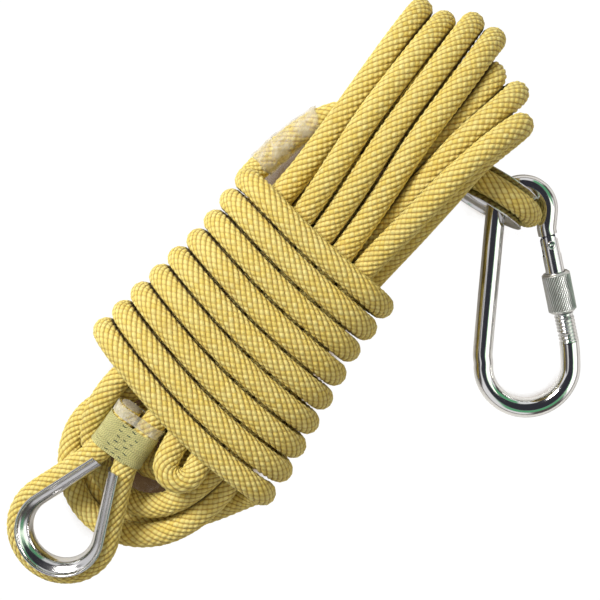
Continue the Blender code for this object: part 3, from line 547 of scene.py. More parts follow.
FINE_A, FINE_B = np.array((40.0, 47.0, 14.0)), np.array((76.0, 36.0, 21.5))   # the tail's film
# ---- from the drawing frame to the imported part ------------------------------
_lo, _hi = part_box("gate_rivet")
SHIFT = np.array((_lo + _hi) / 2) - HINGE * MM


def row(p):
    return np.asarray(p, float) * MM + SHIFT


def smoothstep(x):
    x = np.clip(x, 0.0, 1.0)
    return x * x * (3 - 2 * x)


def hashed(i, j):
    """Repeatable 0..1 numbers from two whole-number arrays."""
    x = np.sin(i * 12.9898 + j * 78.233) * 43758.5453
    return x - np.floor(x)


def mesh_object(name, verts, quads, mats, uv=None, smooth=True, tris=None):
    """Mesh from arrays in millimetres. uv: one pair per quad corner."""
    me = bpy.data.meshes.new(name)
    v = row(verts)
    me.vertices.add(len(v))
    me.vertices.foreach_set("co", v.astype(np.float32).ravel())
    q = np.asarray(quads, np.int32)
    t = np.zeros((0, 3), np.int32) if tris is None else np.asarray(tris, np.int32)
    loops = np.concatenate([q.ravel(), t.ravel()])
    me.loops.add(len(loops))
    me.loops.foreach_set("vertex_index", loops)
    sizes = np.concatenate([np.full(len(q), 4), np.full(len(t), 3)]).astype(np.int32)
    me.polygons.add(len(sizes))
    me.polygons.foreach_set("loop_start", np.concatenate([[0], np.cumsum(sizes)[:-1]]).astype(np.int32))
    me.polygons.foreach_set("use_smooth", np.full(len(sizes), bool(smooth)))
    me.update(calc_edges=True)
    if uv is not None:
        layer = me.uv_layers.new(name="weave")
        w = np.zeros((len(loops), 2), np.float32)
        w[: uv.reshape(-1, 2).shape[0]] = uv.reshape(-1, 2)
        layer.data.foreach_set("uv", w.ravel())
    me.validate()
    for m in mats if isinstance(mats, (list, tuple)) else [mats]:
        me.materials.append(m)
    ob = bpy.data.objects.new(name, me)
    bpy.context.collection.objects.link(ob)
    return ob


def loft(name, rings, mat, closed_path=False, caps=True, uv_scale=(1.0, 1.0)):
    """Surface through equal rings (n, m, 3), each ring closed."""
    rings = np.asarray(rings, float)
    n, m = rings.shape[:2]
    idx = np.arange(n * m).reshape(n, m)
    a = idx if closed_path else idx[:-1]
    b = np.roll(idx, -1, axis=0) if closed_path else idx[1:]
    quads = np.stack([a, np.roll(a, -1, axis=1), np.roll(b, -1, axis=1), b], axis=-1).reshape(-1, 4)
    # lengths for the map
    du = np.linalg.norm(np.diff(rings[:, 0], axis=0), axis=1)
    u = np.concatenate([[0], np.cumsum(du)])
    if closed_path:
        u = np.concatenate([u, [u[-1] + np.linalg.norm(rings[0, 0] - rings[-1, 0])]])
    dv = np.linalg.norm(np.roll(rings[n // 2], -1, axis=0) - rings[n // 2], axis=1)
    w = np.concatenate([[0], np.cumsum(dv)])
    rows_n = n if closed_path else n - 1
    uu0, uu1 = u[:rows_n], u[1 : rows_n + 1]
    uv = np.zeros((rows_n, m, 4, 2))
    uv[..., 0, 0] = uv[..., 1, 0] = uu0[:, None] * uv_scale[0]
    uv[..., 2, 0] = uv[..., 3, 0] = uu1[:, None] * uv_scale[0]
    uv[..., 0, 1] = uv[..., 3, 1] = w[None, :m] * uv_scale[1]
    uv[..., 1, 1] = uv[..., 2, 1] = w[None, 1 : m + 1] * uv_scale[1]
    verts = rings.reshape(-1, 3)
    tris = []
    if caps and not closed_path:
        c0, c1 = rings[0].mean(0), rings[-1].mean(0)
        verts = np.vstack([verts, c0, c1])
        k0, k1 = n * m, n * m + 1
        for k in range(m):
            tris.append((k0, idx[0][(k + 1) % m], idx[0][k]))
            tris.append((k1, idx[-1][k], idx[-1][(k + 1) % m]))
    return mesh_object(name, verts, quads, mat, uv.reshape(-1, 2), tris=tris or None)


def tube_rings(p, radii, sides, phase=0.0):
    t, u, v = frames(np.asarray(p, float))
    a = 2 * np.pi * np.arange(sides) / sides + phase
    r = np.broadcast_to(np.asarray(radii, float), (len(p),))
    return p[:, None, :] + r[:, None, None] * (u[:, None, :] * np.cos(a)[None, :, None] + v[:, None, :] * np.sin(a)[None, :, None])


def tube(name, p, radii, sides, mat, caps=True):
    return loft(name, tube_rings(np.asarray(p, float), radii, sides), mat, caps=caps)


def polish(ob, level=0, angle=40):
    """Smooth shading that keeps the sharp edges of machined shapes."""
    me = ob.data
    bm = bmesh.new()
    bm.from_mesh(me)
    bmesh.ops.remove_doubles(bm, verts=bm.verts, dist=2e-6)
    bmesh.ops.dissolve_degenerate(bm, edges=bm.edges, dist=1e-6)
    bmesh.ops.recalc_face_normals(bm, faces=bm.faces)
    for f in bm.faces:
        f.smooth = True
    for e in bm.edges:
        if len(e.link_faces) == 2:
            e.smooth = e.calc_face_angle(0.0) < math.radians(angle)
    bm.to_mesh(me)
    bm.free()
    return ob


def bevelled(ob, width, segments=2, angle=40):
    mod = ob.modifiers.new("edge", "BEVEL")
    mod.width = width * MM
    mod.segments = segments
    mod.limit_method = "ANGLE"
    mod.angle_limit = math.radians(angle)
    mod.harden_normals = False
    bpy.context.view_layer.update()
    dg = bpy.context.evaluated_depsgraph_get()
    me = bpy.data.meshes.new_from_object(ob.evaluated_get(dg))
    ob.modifiers.clear()
    ob.data = me
    return polish(ob, angle=50)


def recalc(ob):
    bm = bmesh.new()
    bm.from_mesh(ob.data)
    bmesh.ops.recalc_face_normals(bm, faces=bm.faces)
    bm.to_mesh(ob.data)
    bm.free()
    return ob
# ---- materials --------------------------------------------------------------
class Nodes:
    """Small helper that wires a Principled material from maths and noise."""

    def __init__(self, name):
        self.m = bpy.data.materials.new(name)
        self.m.use_nodes = True
        self.t = self.m.node_tree
        self.b = self.t.nodes["Principled BSDF"]

    def node(self, kind, **inputs):
        n = self.t.nodes.new(kind)
        for k, v in inputs.items():
            if k.startswith("_"):
                setattr(n, k[1:], v)
            else:
                self.put(n.inputs[k], v)
        return n

    def put(self, socket, v):
        if isinstance(v, bpy.types.NodeSocket):
            self.t.links.new(v, socket)
        else:
            socket.default_value = v

    def math(self, op, a, b=0.0, c=0.0, clamp=False):
        n = self.t.nodes.new("ShaderNodeMath")
        n.operation = op
        n.use_clamp = clamp
        self.put(n.inputs[0], a)
        self.put(n.inputs[1], b)
        self.put(n.inputs[2], c)
        return n.outputs[0]

    def ramp(self, x, x0, x1, y0=0.0, y1=1.0, smooth=True):
        n = self.t.nodes.new("ShaderNodeMapRange")
        n.interpolation_type = "SMOOTHSTEP" if smooth else "LINEAR"
        self.put(n.inputs["Value"], x)
        for k, v in (("From Min", x0), ("From Max", x1), ("To Min", y0), ("To Max", y1)):
            self.put(n.inputs[k], v)
        return n.outputs[0]

    def mix(self, f, a, b, kind="MIX"):
        n = self.t.nodes.new("ShaderNodeMix")
        n.data_type = "RGBA"
        n.blend_type = kind
        self.put(n.inputs[0], f)
        for s, v in ((n.inputs[6], a), (n.inputs[7], b)):
            if isinstance(v, tuple) and len(v) == 3:
                v = (*v, 1.0)
            self.put(s, v)
        return n.outputs[2]

    def noise(self, vector, scale, detail=3.0, rough=0.55, distortion=0.0):
        n = self.node("ShaderNodeTexNoise", Scale=scale, Detail=detail, Roughness=rough, Distortion=distortion)
        if vector is not None:
            self.put(n.inputs["Vector"], vector)
        return n.outputs["Fac"]

    def obj(self):
        return self.node("ShaderNodeTexCoord").outputs["Object"]

    def uv(self, name="weave"):
        n = self.t.nodes.new("ShaderNodeUVMap")
        n.uv_map = name
        s = self.t.nodes.new("ShaderNodeSeparateXYZ")
        self.t.links.new(n.outputs[0], s.inputs[0])
        return s.outputs[0], s.outputs[1], n.outputs[0]

    def scaled(self, vector, xyz):
        n = self.t.nodes.new("ShaderNodeVectorMath")
        n.operation = "MULTIPLY"
        self.put(n.inputs[0], vector)
        n.inputs[1].default_value = xyz
        return n.outputs[0]

    def bump(self, height, strength, distance_mm, normal=None):
        n = self.node("ShaderNodeBump", Strength=strength, Distance=distance_mm * MM, Height=height)
        if normal is not None:
            self.put(n.inputs["Normal"], normal)
        return n.outputs[0]

    def set(self, **kw):
        names = {"color": "Base Color", "rough": "Roughness", "metal": "Metallic", "normal": "Normal", "sheen": "Sheen Weight", "sheen_rough": "Sheen Roughness", "sheen_tint": "Sheen Tint", "alpha": "Alpha", "spec": "Specular IOR Level", "coat": "Coat Weight", "coat_rough": "Coat Roughness", "aniso": "Anisotropic", "trans": "Transmission Weight", "subsurface": "Subsurface Weight"}
        for k, v in kw.items():
            if isinstance(v, tuple) and len(v) == 3:
                v = (*v, 1.0)
            self.put(self.b.inputs[names[k]], v)
        return self.m


def rope_material(name, bright, mid, valley_shade_and_soil, grime=1.0):
    """Braided yarn. The map's two coordinates count yarns of the two hands, so
    whole numbers are the valleys between neighbouring yarns."""
    n = Nodes(name)
    a, b, uvv = n.uv()
    fa, fb = n.math("FRACT", a), n.math("FRACT", b)
    ia, ib = n.math("FLOOR", a), n.math("FLOOR", b)
    # 0 in the valley, 1 on the crown, for each hand
    ca = n.math("SINE", n.math("MULTIPLY", fa, math.pi))
    cb = n.math("SINE", n.math("MULTIPLY", fb, math.pi))
    par = n.math("FRACT", n.math("MULTIPLY", n.math("ADD", ia, ib), 0.5))      # 0 or .5
    over = n.math("LESS_THAN", par, 0.25)                                        # 1 where the a yarn is on top
    top = n.math("SUBTRACT", 1.0, n.math("MULTIPLY", over, 0.22))
    soft = n.math("ADD", 0.50, n.math("MULTIPLY", n.math("POWER", ca, 1.25), 0.50))
    valley = n.math("MULTIPLY", n.math("POWER", cb, 0.65), soft)
    crown = n.math("MULTIPLY", valley, top)
    # filaments lie along the yarn on top
    along_a = n.math("MULTIPLY", fa, 9.0)
    along_b = n.math("MULTIPLY", fb, 9.0)
    pick = n.math("ADD", n.math("MULTIPLY", along_a, over), n.math("MULTIPLY", along_b, n.math("SUBTRACT", 1.0, over)))
    long_ = n.math("ADD", n.math("MULTIPLY", b, over), n.math("MULTIPLY", a, n.math("SUBTRACT", 1.0, over)))
    comb = n.t.nodes.new("ShaderNodeCombineXYZ")
    n.put(comb.inputs[0], pick)
    n.put(comb.inputs[1], n.math("MULTIPLY", long_, 0.8))
    n.put(comb.inputs[2], n.math("ADD", n.math("MULTIPLY", ia, 0.37), n.math("MULTIPLY", ib, 0.71)))
    fil = n.noise(comb.outputs[0], 1.6, 2.0, 0.6)
    # one tone for each yarn float, and slow drifts along the rope
    cell = n.t.nodes.new("ShaderNodeTexWhiteNoise")
    cell.noise_dimensions = "2D"
    cc = n.t.nodes.new("ShaderNodeCombineXYZ")
    n.put(cc.inputs[0], ia)
    n.put(cc.inputs[1], ib)
    n.put(cell.inputs["Vector"], cc.outputs[0])
    tone = cell.outputs["Value"]
    drift = n.noise(n.obj(), 28.0, 3.0, 0.6)
    soil = n.ramp(n.noise(n.obj(), 75.0, 4.0, 0.7), 0.52, 0.78)
    lift = n.math("ADD", n.math("MULTIPLY", tone, 0.30), n.math("MULTIPLY", fil, 0.55))
    lift = n.math("ADD", lift, n.math("MULTIPLY", drift, 0.25))
    col = n.mix(n.ramp(lift, 0.30, 0.82), mid, bright)
    # painted shade: the valleys between yarns are darkened towards the deep orange-brown, which also colours the
    # random soil patches below
    col = n.mix(n.ramp(crown, 0.66, 0.06, 0.0, 0.74), col, valley_shade_and_soil)
    # painted highlight: the crowns of the yarns are lightened towards pale yellow
    col = n.mix(n.math("MULTIPLY", n.ramp(crown, 0.72, 1.0), 0.28), col, (0.93, 0.84, 0.40))
    # painted shade: yarn that lies against the next turn is darkened almost to black in its colour, standing in for
    # the shade where the turns touch
    seam = n.node("ShaderNodeAttribute", _attribute_name="seam", _attribute_type="GEOMETRY").outputs["Fac"]
    col = n.mix(n.math("MULTIPLY", n.ramp(seam, 0.24, 0.82), 0.92), col, (0.045, 0.016, 0.004))
    col = n.mix(n.math("MULTIPLY", soil, 0.18 * grime), col, valley_shade_and_soil)
    # fuzz worn onto the crowns
    fuzz = n.noise(n.obj(), 2600.0, 2.0, 0.7)
    rough = n.math("ADD", n.math("MULTIPLY", fil, 0.18), 0.62)
    height = n.math("ADD", n.math("MULTIPLY", crown, 1.0), n.math("MULTIPLY", fil, 0.16))
    height = n.math("ADD", height, n.math("MULTIPLY", fuzz, 0.05))
    nrm = n.bump(height, 1.0, 0.55)
    return n.set(color=col, rough=rough, normal=nrm, sheen=0.12, sheen_rough=0.45, sheen_tint=(1.0, 0.93, 0.62), spec=0.28)


def steel_material(name, tint=(0.80, 0.80, 0.80), rough=0.09, scratch=1.0, grain=None):
    """Bright plated steel: faint haze, fine handling marks, darker in the nicks."""
    n = Nodes(name)
    o = n.obj()
    haze = n.noise(o, 140.0, 4.0, 0.65)
    fine = n.noise(n.scaled(o, (1.0, 1.0, 7.0)), 900.0, 3.0, 0.7)
    marks = n.ramp(n.noise(n.scaled(o, (6.0, 1.0, 2.0)), 260.0, 5.0, 0.75, 0.6), 0.62, 0.72)
    r = n.math("ADD", rough, n.math("MULTIPLY", n.ramp(haze, 0.35, 0.8), 0.07))
    r = n.math("ADD", r, n.math("MULTIPLY", marks, 0.10 * scratch))
    col = n.mix(n.math("MULTIPLY", marks, 0.30 * scratch), tint, (0.50, 0.49, 0.47))
    col = n.mix(n.math("MULTIPLY", n.ramp(haze, 0.5, 0.85), 0.10), col, (0.66, 0.63, 0.58))
    h = n.math("ADD", n.math("MULTIPLY", fine, 0.25), n.math("MULTIPLY", marks, -0.6 * scratch))
    nrm = n.bump(h, 0.12, 0.05)
    return n.set(color=col, metal=1.0, rough=r, normal=nrm)


def satin_material(name):
    """Knurled sleeve: duller plating, with painted shade darkening the grooves between the ridges."""
    n = Nodes(name)
    o = n.obj()
    fine = n.noise(o, 1500.0, 3.0, 0.7)
    blot = n.noise(o, 210.0, 4.0, 0.6)
    col = n.mix(n.ramp(blot, 0.35, 0.75), (0.78, 0.78, 0.77), (0.58, 0.58, 0.57))
    groove_shade = n.node("ShaderNodeAttribute", _attribute_name="groove", _attribute_type="GEOMETRY").outputs["Fac"]
    # painted shade: colour darkened towards near-black in the knurl grooves
    col = n.mix(n.math("MULTIPLY", groove_shade, 0.75), col, (0.10, 0.10, 0.095))
    r = n.math("ADD", 0.27, n.math("MULTIPLY", fine, 0.16))
    return n.set(color=col, metal=1.0, rough=r, normal=n.bump(fine, 0.25, 0.06))


def thread_material(name, light, dark, pitch):
    """Twisted sewing thread: the map's first coordinate runs along it in mm."""
    n = Nodes(name)
    u, v, uvv = n.uv()
    twist = n.math("SINE", n.math("ADD", n.math("MULTIPLY", u, 2 * math.pi / pitch), n.math("MULTIPLY", v, 3.0)))
    t01 = n.math("ADD", n.math("MULTIPLY", twist, 0.5), 0.5)
    blot = n.noise(n.obj(), 320.0, 3.0, 0.6)
    f = n.math("ADD", n.math("MULTIPLY", t01, 0.45), n.math("MULTIPLY", blot, 0.55))
    col = n.mix(n.ramp(f, 0.2, 0.8), dark, light)
    return n.set(color=col, rough=n.math("ADD", 0.55, n.math("MULTIPLY", blot, 0.2)), normal=n.bump(t01, 0.5, 0.06), sheen=0.25, spec=0.35)


def film_material(name, tint, alpha_lo, alpha_hi):
    """Cloudy shrink film: wrinkled, more opaque where it bunches."""
    n = Nodes(name)
    o = n.obj()
    cloud = n.noise(o, 120.0, 4.0, 0.62, 0.4)
    crease = n.noise(n.scaled(o, (1.0, 2.6, 1.0)), 420.0, 3.0, 0.6, 1.2)
    a = n.ramp(cloud, 0.34, 0.70, alpha_lo, alpha_hi)
    col = n.mix(n.ramp(crease, 0.3, 0.75), tint, (0.93, 0.91, 0.84))
    h = n.math("ADD", n.math("MULTIPLY", crease, 1.0), n.math("MULTIPLY", cloud, 0.7))
    n.m.blend_method = "HASHED"
    return n.set(color=col, rough=n.math("ADD", 0.22, n.math("MULTIPLY", cloud, 0.25)), alpha=a, normal=n.bump(h, 0.5, 0.35), spec=0.55)


def core_material(name):
    """Cut ends of the core: packed white filaments."""
    n = Nodes(name)
    o = n.obj()
    v = n.node("ShaderNodeTexVoronoi", Scale=1700.0)
    n.put(v.inputs["Vector"], o)
    d = v.outputs["Distance"]
    col = n.mix(n.ramp(d, 0.1, 0.7), (0.62, 0.57, 0.42), (0.34, 0.28, 0.17))
    return n.set(color=col, rough=0.8, normal=n.bump(d, 0.6, 0.2), sheen=0.2)
# ---- braided rope -----------------------------------------------------------
N_YARN = 11          # yarns of each hand round the sheath
TURN = 42.0          # advance of one yarn in a full turn, mm
Q = 3                # mesh steps across one yarn
ROW = TURN / (2 * N_YARN * Q)
RELIEF = 0.62        # crown to valley, mm


def eye_course(eye, whip_s1):
    """Rope centre line in an eye, from its cut end round to the neck."""
    half = drop(EYE_OFF, whip_s1 + 0.8, 40, 26)
    extra = [s for s in np.arange(whip_s1 + 2.5, eye.ps - 1.0, 3.0)]
    a = [eye.at(s, -l) for s, l in half] + [eye.at(s, -leg_half(s)) for s in extra if s < eye.ps - 2.0]
    b = [eye.at(s, l) for s, l in half[1:]] + [eye.at(s, leg_half(s)) for s in extra + [eye.ps - 0.6]]
    return b[::-1] + a


LINE, TAIL_I = main_run()
_free = eye_course(FREE, WHIP_S1)
_hook = eye_course(HOOK, HOOK_WHIP_S1)
COURSE = smooth_line(np.vstack([np.array(_free), LINE, np.array(_hook[::-1])]), ROW)
N_ROWS = len(COURSE)


def row_near(p, lo=0, hi=None):
    hi = N_ROWS if hi is None else hi
    return lo + int(np.argmin(np.linalg.norm(COURSE[lo:hi] - np.asarray(p, float), axis=1)))


def squeeze():
    """Sheath radius along the course: the thimbles press the rope thinner."""
    r = np.full(N_ROWS, ROPE_R - 0.02)
    for eye in (FREE, HOOK):
        d = COURSE - eye.c
        s = d @ eye.e
        near = (np.abs(d @ eye.n) < 8.0) & (np.linalg.norm(d, axis=1) < 60.0)
        k = smoothstep((s - 30.0) / 14.0)
        r = np.where(near, np.minimum(r, EYE_ROPE_R + 0.02 + (ROPE_R - EYE_ROPE_R) * k), r)
    w = np.hanning(41)
    pad = np.concatenate([np.full(20, r[0]), r, np.full(20, r[-1])])
    return np.convolve(pad, w / w.sum(), mode="valid")


R_ALONG = squeeze()
_t, _u, _v = frames(COURSE)
M = N_YARN * Q


def braid_vertices():
    S = np.arange(N_ROWS)[:, None]
    D = (S % 2) + 2 * np.arange(M)[None, :]
    ang = 2 * np.pi * D / (2 * M)
    i = (S + D) // 2
    j = (S - D) // 2
    fa, fb = (i % Q) / Q, (j % Q) / Q
    I, J = i // Q, j // Q
    ca, cb = np.sin(np.pi * fa) ** 1.25, np.sin(np.pi * fb) ** 0.65
    top = np.where((I + J) % 2 == 1, 1.0, 0.80)
    crown = cb * (0.50 + 0.50 * ca) * top
    # the two hands count back to the same yarn after a full turn
    loose = (hashed((I + J) * 1.0, ((I - J) % (2 * N_YARN)) * 1.0) - 0.5) * 0.10
    s = S * ROW
    slack = 0.07 * np.sin(s / 31.0 + 0.7) + 0.05 * np.sin(s / 11.3) + 0.06 * np.sin(s / 57.0 + 2 * ang)
    r = R_ALONG[:, None] + 0.20 - RELIEF * (1 - crown) + loose * crown + slack
    return COURSE[:, None, :] + r[..., None] * (np.cos(ang)[..., None] * _u[:, None, :] + np.sin(ang)[..., None] * _v[:, None, :])


BRAID = braid_vertices()


def seam_shade():
    """How close each vertex lies to a neighbouring turn, 0 clear to 1 touching; the yarn colour is darkened by it as
    painted shade.
    """
    stride = 8
    c = COURSE[::stride]
    tc = _t[::stride]
    n = len(c)
    idx = np.arange(n)
    d = np.linalg.norm(c[:, None] - c[None], axis=2)
    d[np.abs(idx[:, None] - idx[None]) < 6] = 1e3
    out = np.zeros((N_ROWS, M))
    near = np.argsort(d, axis=1)[:, :14]
    block = np.minimum(np.arange(N_ROWS) // stride, n - 1)
    for k in range(14):
        q = near[block, k]
        v = BRAID - c[q][:, None, :]
        along = np.einsum("ijk,ik->ij", v, tc[q])
        ok = (np.abs(along) < 4.0) & (d[block, q] < 30.0)[:, None]
        v = v - along[..., None] * tc[q][:, None, :]
        gap = np.linalg.norm(v, axis=2) - ROPE_R
        out = np.maximum(out, np.where(ok, 1 - smoothstep((gap - 0.15) / 2.3), 0.0))
    return out


SEAM_SHADE = seam_shade()


def braid_piece(name, r0, r1, mat):
    """The sheath between two rows. Neighbouring pieces share their edge exactly."""
    S = np.arange(r0, min(r1, N_ROWS - 2))[:, None]
    D = (S % 2) + 2 * np.arange(M)[None, :]
    i = (S + D) // 2
    j = (S - D) // 2

    def at(s, d):
        return (s - r0) * M + ((d - (s % 2)) % (2 * M)) // 2

    quads = np.stack([at(S, D), at(S + 1, D + 1), at(S + 2, D), at(S + 1, D - 1)], axis=-1).reshape(-1, 4)
    base = np.stack([i, j], axis=-1).astype(float)
    step = np.array(((0, 0), (1, 0), (1, 1), (0, 1)), float)
    uv = (base[..., None, :] + step[None, None]) / Q
    # keep the numbers small so single precision stays sharp
    uv = uv - np.floor((r0 // (2 * Q)) * 1.0)
    verts = BRAID[r0 : min(r1 + 2, N_ROWS)].reshape(-1, 3)
    ob = mesh_object(name, verts, quads, mat, uv.reshape(-1, 2))
    # closeness to the next turn, which the yarn material paints as shade
    shade = ob.data.attributes.new("seam", "FLOAT", "POINT")
    shade.data.foreach_set("value", SEAM_SHADE[r0 : min(r1 + 2, N_ROWS)].astype(np.float32).ravel())
    return ob


yarn = rope_material("braided_yarn", (0.85, 0.745, 0.27), (0.79, 0.62, 0.140), (0.31, 0.130, 0.012))
n_free = len(_free)
k_free = row_near(FREE.at(WHIP_S0 + 9.0, -leg_half(WHIP_S0 + 9.0)), 100, 900)
k_run0 = row_near(LINE[3], k_free, k_free + 200)
k_hook = N_ROWS - 1 - row_near(HOOK.at(WHIP_S0 + 8.0, -leg_half(WHIP_S0 + 8.0)), 100, 900)
_rev = COURSE[::-1]
k_hook = N_ROWS - 1 - int(100 + np.argmin(np.linalg.norm(_rev[100:900] - HOOK.at(WHIP_S0 + 8.0, -leg_half(WHIP_S0 + 8.0)), axis=1)))
k_run1 = row_near(LINE[-4], k_hook - 200, k_hook)

free_rope = braid_piece("braid_free_eye", 0, k_free, yarn)
free_neck = braid_piece("braid_free_neck", k_free, k_run0, yarn)
coil_rope = braid_piece("braid_coil", k_run0, k_run1, yarn)
hook_neck = braid_piece("braid_hook_neck", k_run1, k_hook, yarn)
hook_rope = braid_piece("braid_hook_eye", k_hook, N_ROWS, yarn)


def cut_end(name, c, axis, r, mat):
    """Domed end of the core, its outline slightly uneven."""
    t = unit(axis)
    u = unit(np.cross(t, UP if abs(t[2]) < 0.8 else np.array((1.0, 0, 0))))
    v = np.cross(t, u)
    rings = []
    m = 30
    for k, (h, q) in enumerate(((-1.6, 1.0), (-0.3, 1.0), (0.15, 0.93), (0.5, 0.7), (0.62, 0.4), (0.66, 0.12))):
        a = 2 * np.pi * np.arange(m) / m
        rr = r * q * (1 + 0.03 * np.sin(3 * a + k) + 0.02 * np.sin(7 * a))
        rings.append(c + t * h + rr[:, None] * (np.cos(a)[:, None] * u + np.sin(a)[:, None] * v))
    return loft(name, rings, mat)


core_white = core_material("core_filaments")
free_end = cut_end("core_end_free", COURSE[0] + _t[0] * 0.2, -_t[0], CORE_R + 0.9, core_white)
hook_end = cut_end("core_end_hook", COURSE[-1] - _t[-1] * 0.2, _t[-1], CORE_R + 0.9, core_white)

# ---- eye fittings -----------------------------------------------------------
bright_steel = steel_material("thimble_plate", (0.62, 0.615, 0.62), 0.15, 1.0)


def closed_curve(points, per):
    """Round-cornered closed outline through points."""
    p = np.array(points, float)
    out = []
    n = len(p)
    for k in range(n):
        p0, p1, p2, p3 = p[k - 1], p[k], p[(k + 1) % n], p[(k + 2) % n]
        for t in np.linspace(0, 1, per, endpoint=False):
            out.append(0.5 * (2 * p1 + (p2 - p0) * t + (2 * p0 - 5 * p1 + 4 * p2 - p3) * t * t + (3 * p1 - p0 - 3 * p2 + p3) * t**3))
    return np.array(out)


def thimble(name, eye, mat):
    arc = [math.radians(t) for t in (-72, -48, -24, 0, 24, 48, 72)]
    prof = [(EYE_OFF - EYE_OFF * math.cos(t), EYE_OFF * math.sin(t)) for t in arc]
    prof += [(5.75, THIMBLE_LIP - 0.15), (6.35, THIMBLE_LIP), (6.75, THIMBLE_LIP - 0.4), (6.3, THIMBLE_LIP - 1.0)]
    inner = EYE_OFF - THIMBLE_WALL
    prof += [(EYE_OFF - inner * math.cos(t), inner * math.sin(t)) for t in reversed(arc)]
    prof += [(6.3, -THIMBLE_LIP + 1.0), (6.75, -THIMBLE_LIP + 0.4), (6.35, -THIMBLE_LIP), (5.75, -THIMBLE_LIP + 0.15)]
    prof = closed_curve(prof, 3)
    th0 = math.pi / 2 - EYE_ALPHA
    st = [("leg", s, -1) for s in np.linspace(37.6, 16.0, 14)]
    st += [("arc", t, 0) for t in np.linspace(-th0, -2 * math.pi + th0, 72)]
    st += [("leg", s, 1) for s in np.linspace(16.0, 37.6, 14)]
    rings = []
    for kind, q, sign in st:
        if kind == "arc":
            d = (math.cos(q), math.sin(q))
            p = (EYE_RI * d[0], EYE_RI * d[1])
        else:
            d = (math.sin(EYE_ALPHA), sign * math.cos(EYE_ALPHA))
            p = (q, sign * (EYE_LEN - q) * math.tan(EYE_ALPHA))
        o = eye.at(*p)
        w = eye.e * d[0] + eye.lat * d[1]
        rings.append([o + w * a + eye.n * b for a, b in prof])
    ob = loft(name, rings, mat, caps=False)
    bm = bmesh.new()
    bm.from_mesh(ob.data)
    open_edges = [e for e in bm.edges if len(e.link_faces) == 1]
    made = bmesh.ops.holes_fill(bm, edges=open_edges)
    bmesh.ops.triangulate(bm, faces=made["faces"], ngon_method="EAR_CLIP")
    bmesh.ops.recalc_face_normals(bm, faces=bm.faces)
    for e in bm.edges:
        if len(e.link_faces) == 2:
            e.smooth = e.calc_face_angle(0.0) < math.radians(45)
    bm.to_mesh(ob.data)
    bm.free()
    return ob


def race(f, r, half):
    """Point at share f round two circles of radius r, 2 * half apart: (l, n)."""
    f = f % 1.0
    per = 2 * math.pi * r + 4 * half
    d = f * per
    if d < 2 * half:
        return (-half + d, r)
    d -= 2 * half
    if d < math.pi * r:
        a = math.pi / 2 - d / r
        return (half + r * math.cos(a), r * math.sin(a))
    d -= math.pi * r
    if d < 2 * half:
        return (half - d, -r)
    d -= 2 * half
    a = -math.pi / 2 - d / r
    return (-half + r * math.cos(a), r * math.sin(a))


def whipping(name, eye, s1, mat):
    """Close turns of thread round both legs of the neck."""
    pitch, r = 0.76, 6.72
    turns = (s1 - WHIP_S0 - 0.8) / pitch
    n = int(turns * 56)
    pts = []
    for k in range(n + 1):
        f = turns * k / n
        s = WHIP_S0 + 0.4 + pitch * f
        wob = 0.05 * math.sin(f * 5.1) + 0.06 * math.sin(f * 2 * math.pi * 0.37 + 1.0)
        l, z = race(f, r + wob, leg_half(s))
        pts.append(eye.at(s + 0.07 * math.sin(f * 3.3), l, z))
    return tube(name, np.array(pts), 0.41, 6, mat)


def racetrack_sleeve(name, eye, s0, s1, mat, r_in, r_out, wrinkle, seed, steps=40):
    """Film round both legs, open at both ends, its rims slightly uneven."""
    m = 84
    rings = []
    f = np.arange(m) / m

    def ringat(s, r, skew):
        out = []
        for k in range(m):
            a = 2 * math.pi * f[k]
            ss = s + skew * (0.5 * math.sin(a + seed) + 0.35 * math.sin(3 * a + 2 * seed))
            rr = r + wrinkle * (0.5 * math.sin(5 * a + 1.9 * s + seed) + 0.5 * math.sin(9 * a - 0.8 * s))
            l, z = race(f[k], rr, leg_half(min(ss, eye.ps)))
            out.append(eye.at(ss, l, z))
        return out

    for s in np.linspace(s0, s1, steps):
        rings.append(ringat(s, r_out, 0.5))
    for s in np.linspace(s1, s0, steps // 2):
        rings.append(ringat(s, r_in, 0.5))
    return recalc(loft(name, rings, mat, closed_path=True))


def lock_stitches(name, eye, s1, mat):
    """Dark thread run through the whipping: it shows as rows of short dashes."""
    rows_n = 6
    gap = (s1 - WHIP_S0 - 3.6) / (rows_n - 1)
    pts = []
    for side_n in (1.0, -1.0):
        seq = range(rows_n) if side_n > 0 else reversed(range(rows_n))
        for k in seq:
            s = WHIP_S0 + 1.8 + gap * k
            flip = 1.0 if (k % 2 == 0) == (side_n > 0) else -1.0
            for q in np.linspace(-6.6, 6.6, 56):
                l = flip * q
                wave = math.sin(q * 2 * math.pi / (3.6 + 0.9 * (k % 3)) + 2.3 * k) - 0.25
                z = 6.86 + 0.36 * max(-1.0, min(1.0, 2.6 * wave))
                z -= 0.7 * smoothstep((abs(q) - 5.3) / 0.8)
                pts.append(eye.at(s + 0.14 * math.sin(q * 2.1 + k), l, side_n * z))
        # over the side of the neck to the other face
        if side_n > 0:
            end = pts[-1]
            k = rows_n - 1
            s = WHIP_S0 + 1.8 + gap * k
            sgn = 1.0 if k % 2 == 0 else -1.0
            h = leg_half(s)
            for a in np.linspace(90, -90, 18)[1:-1]:
                a = math.radians(a)
                pts.append(eye.at(s, sgn * (h + 6.5 * math.cos(a)), 6.5 * math.sin(a)))
    p = np.array(pts)
    return tube(name, p, 0.23, 6, mat)


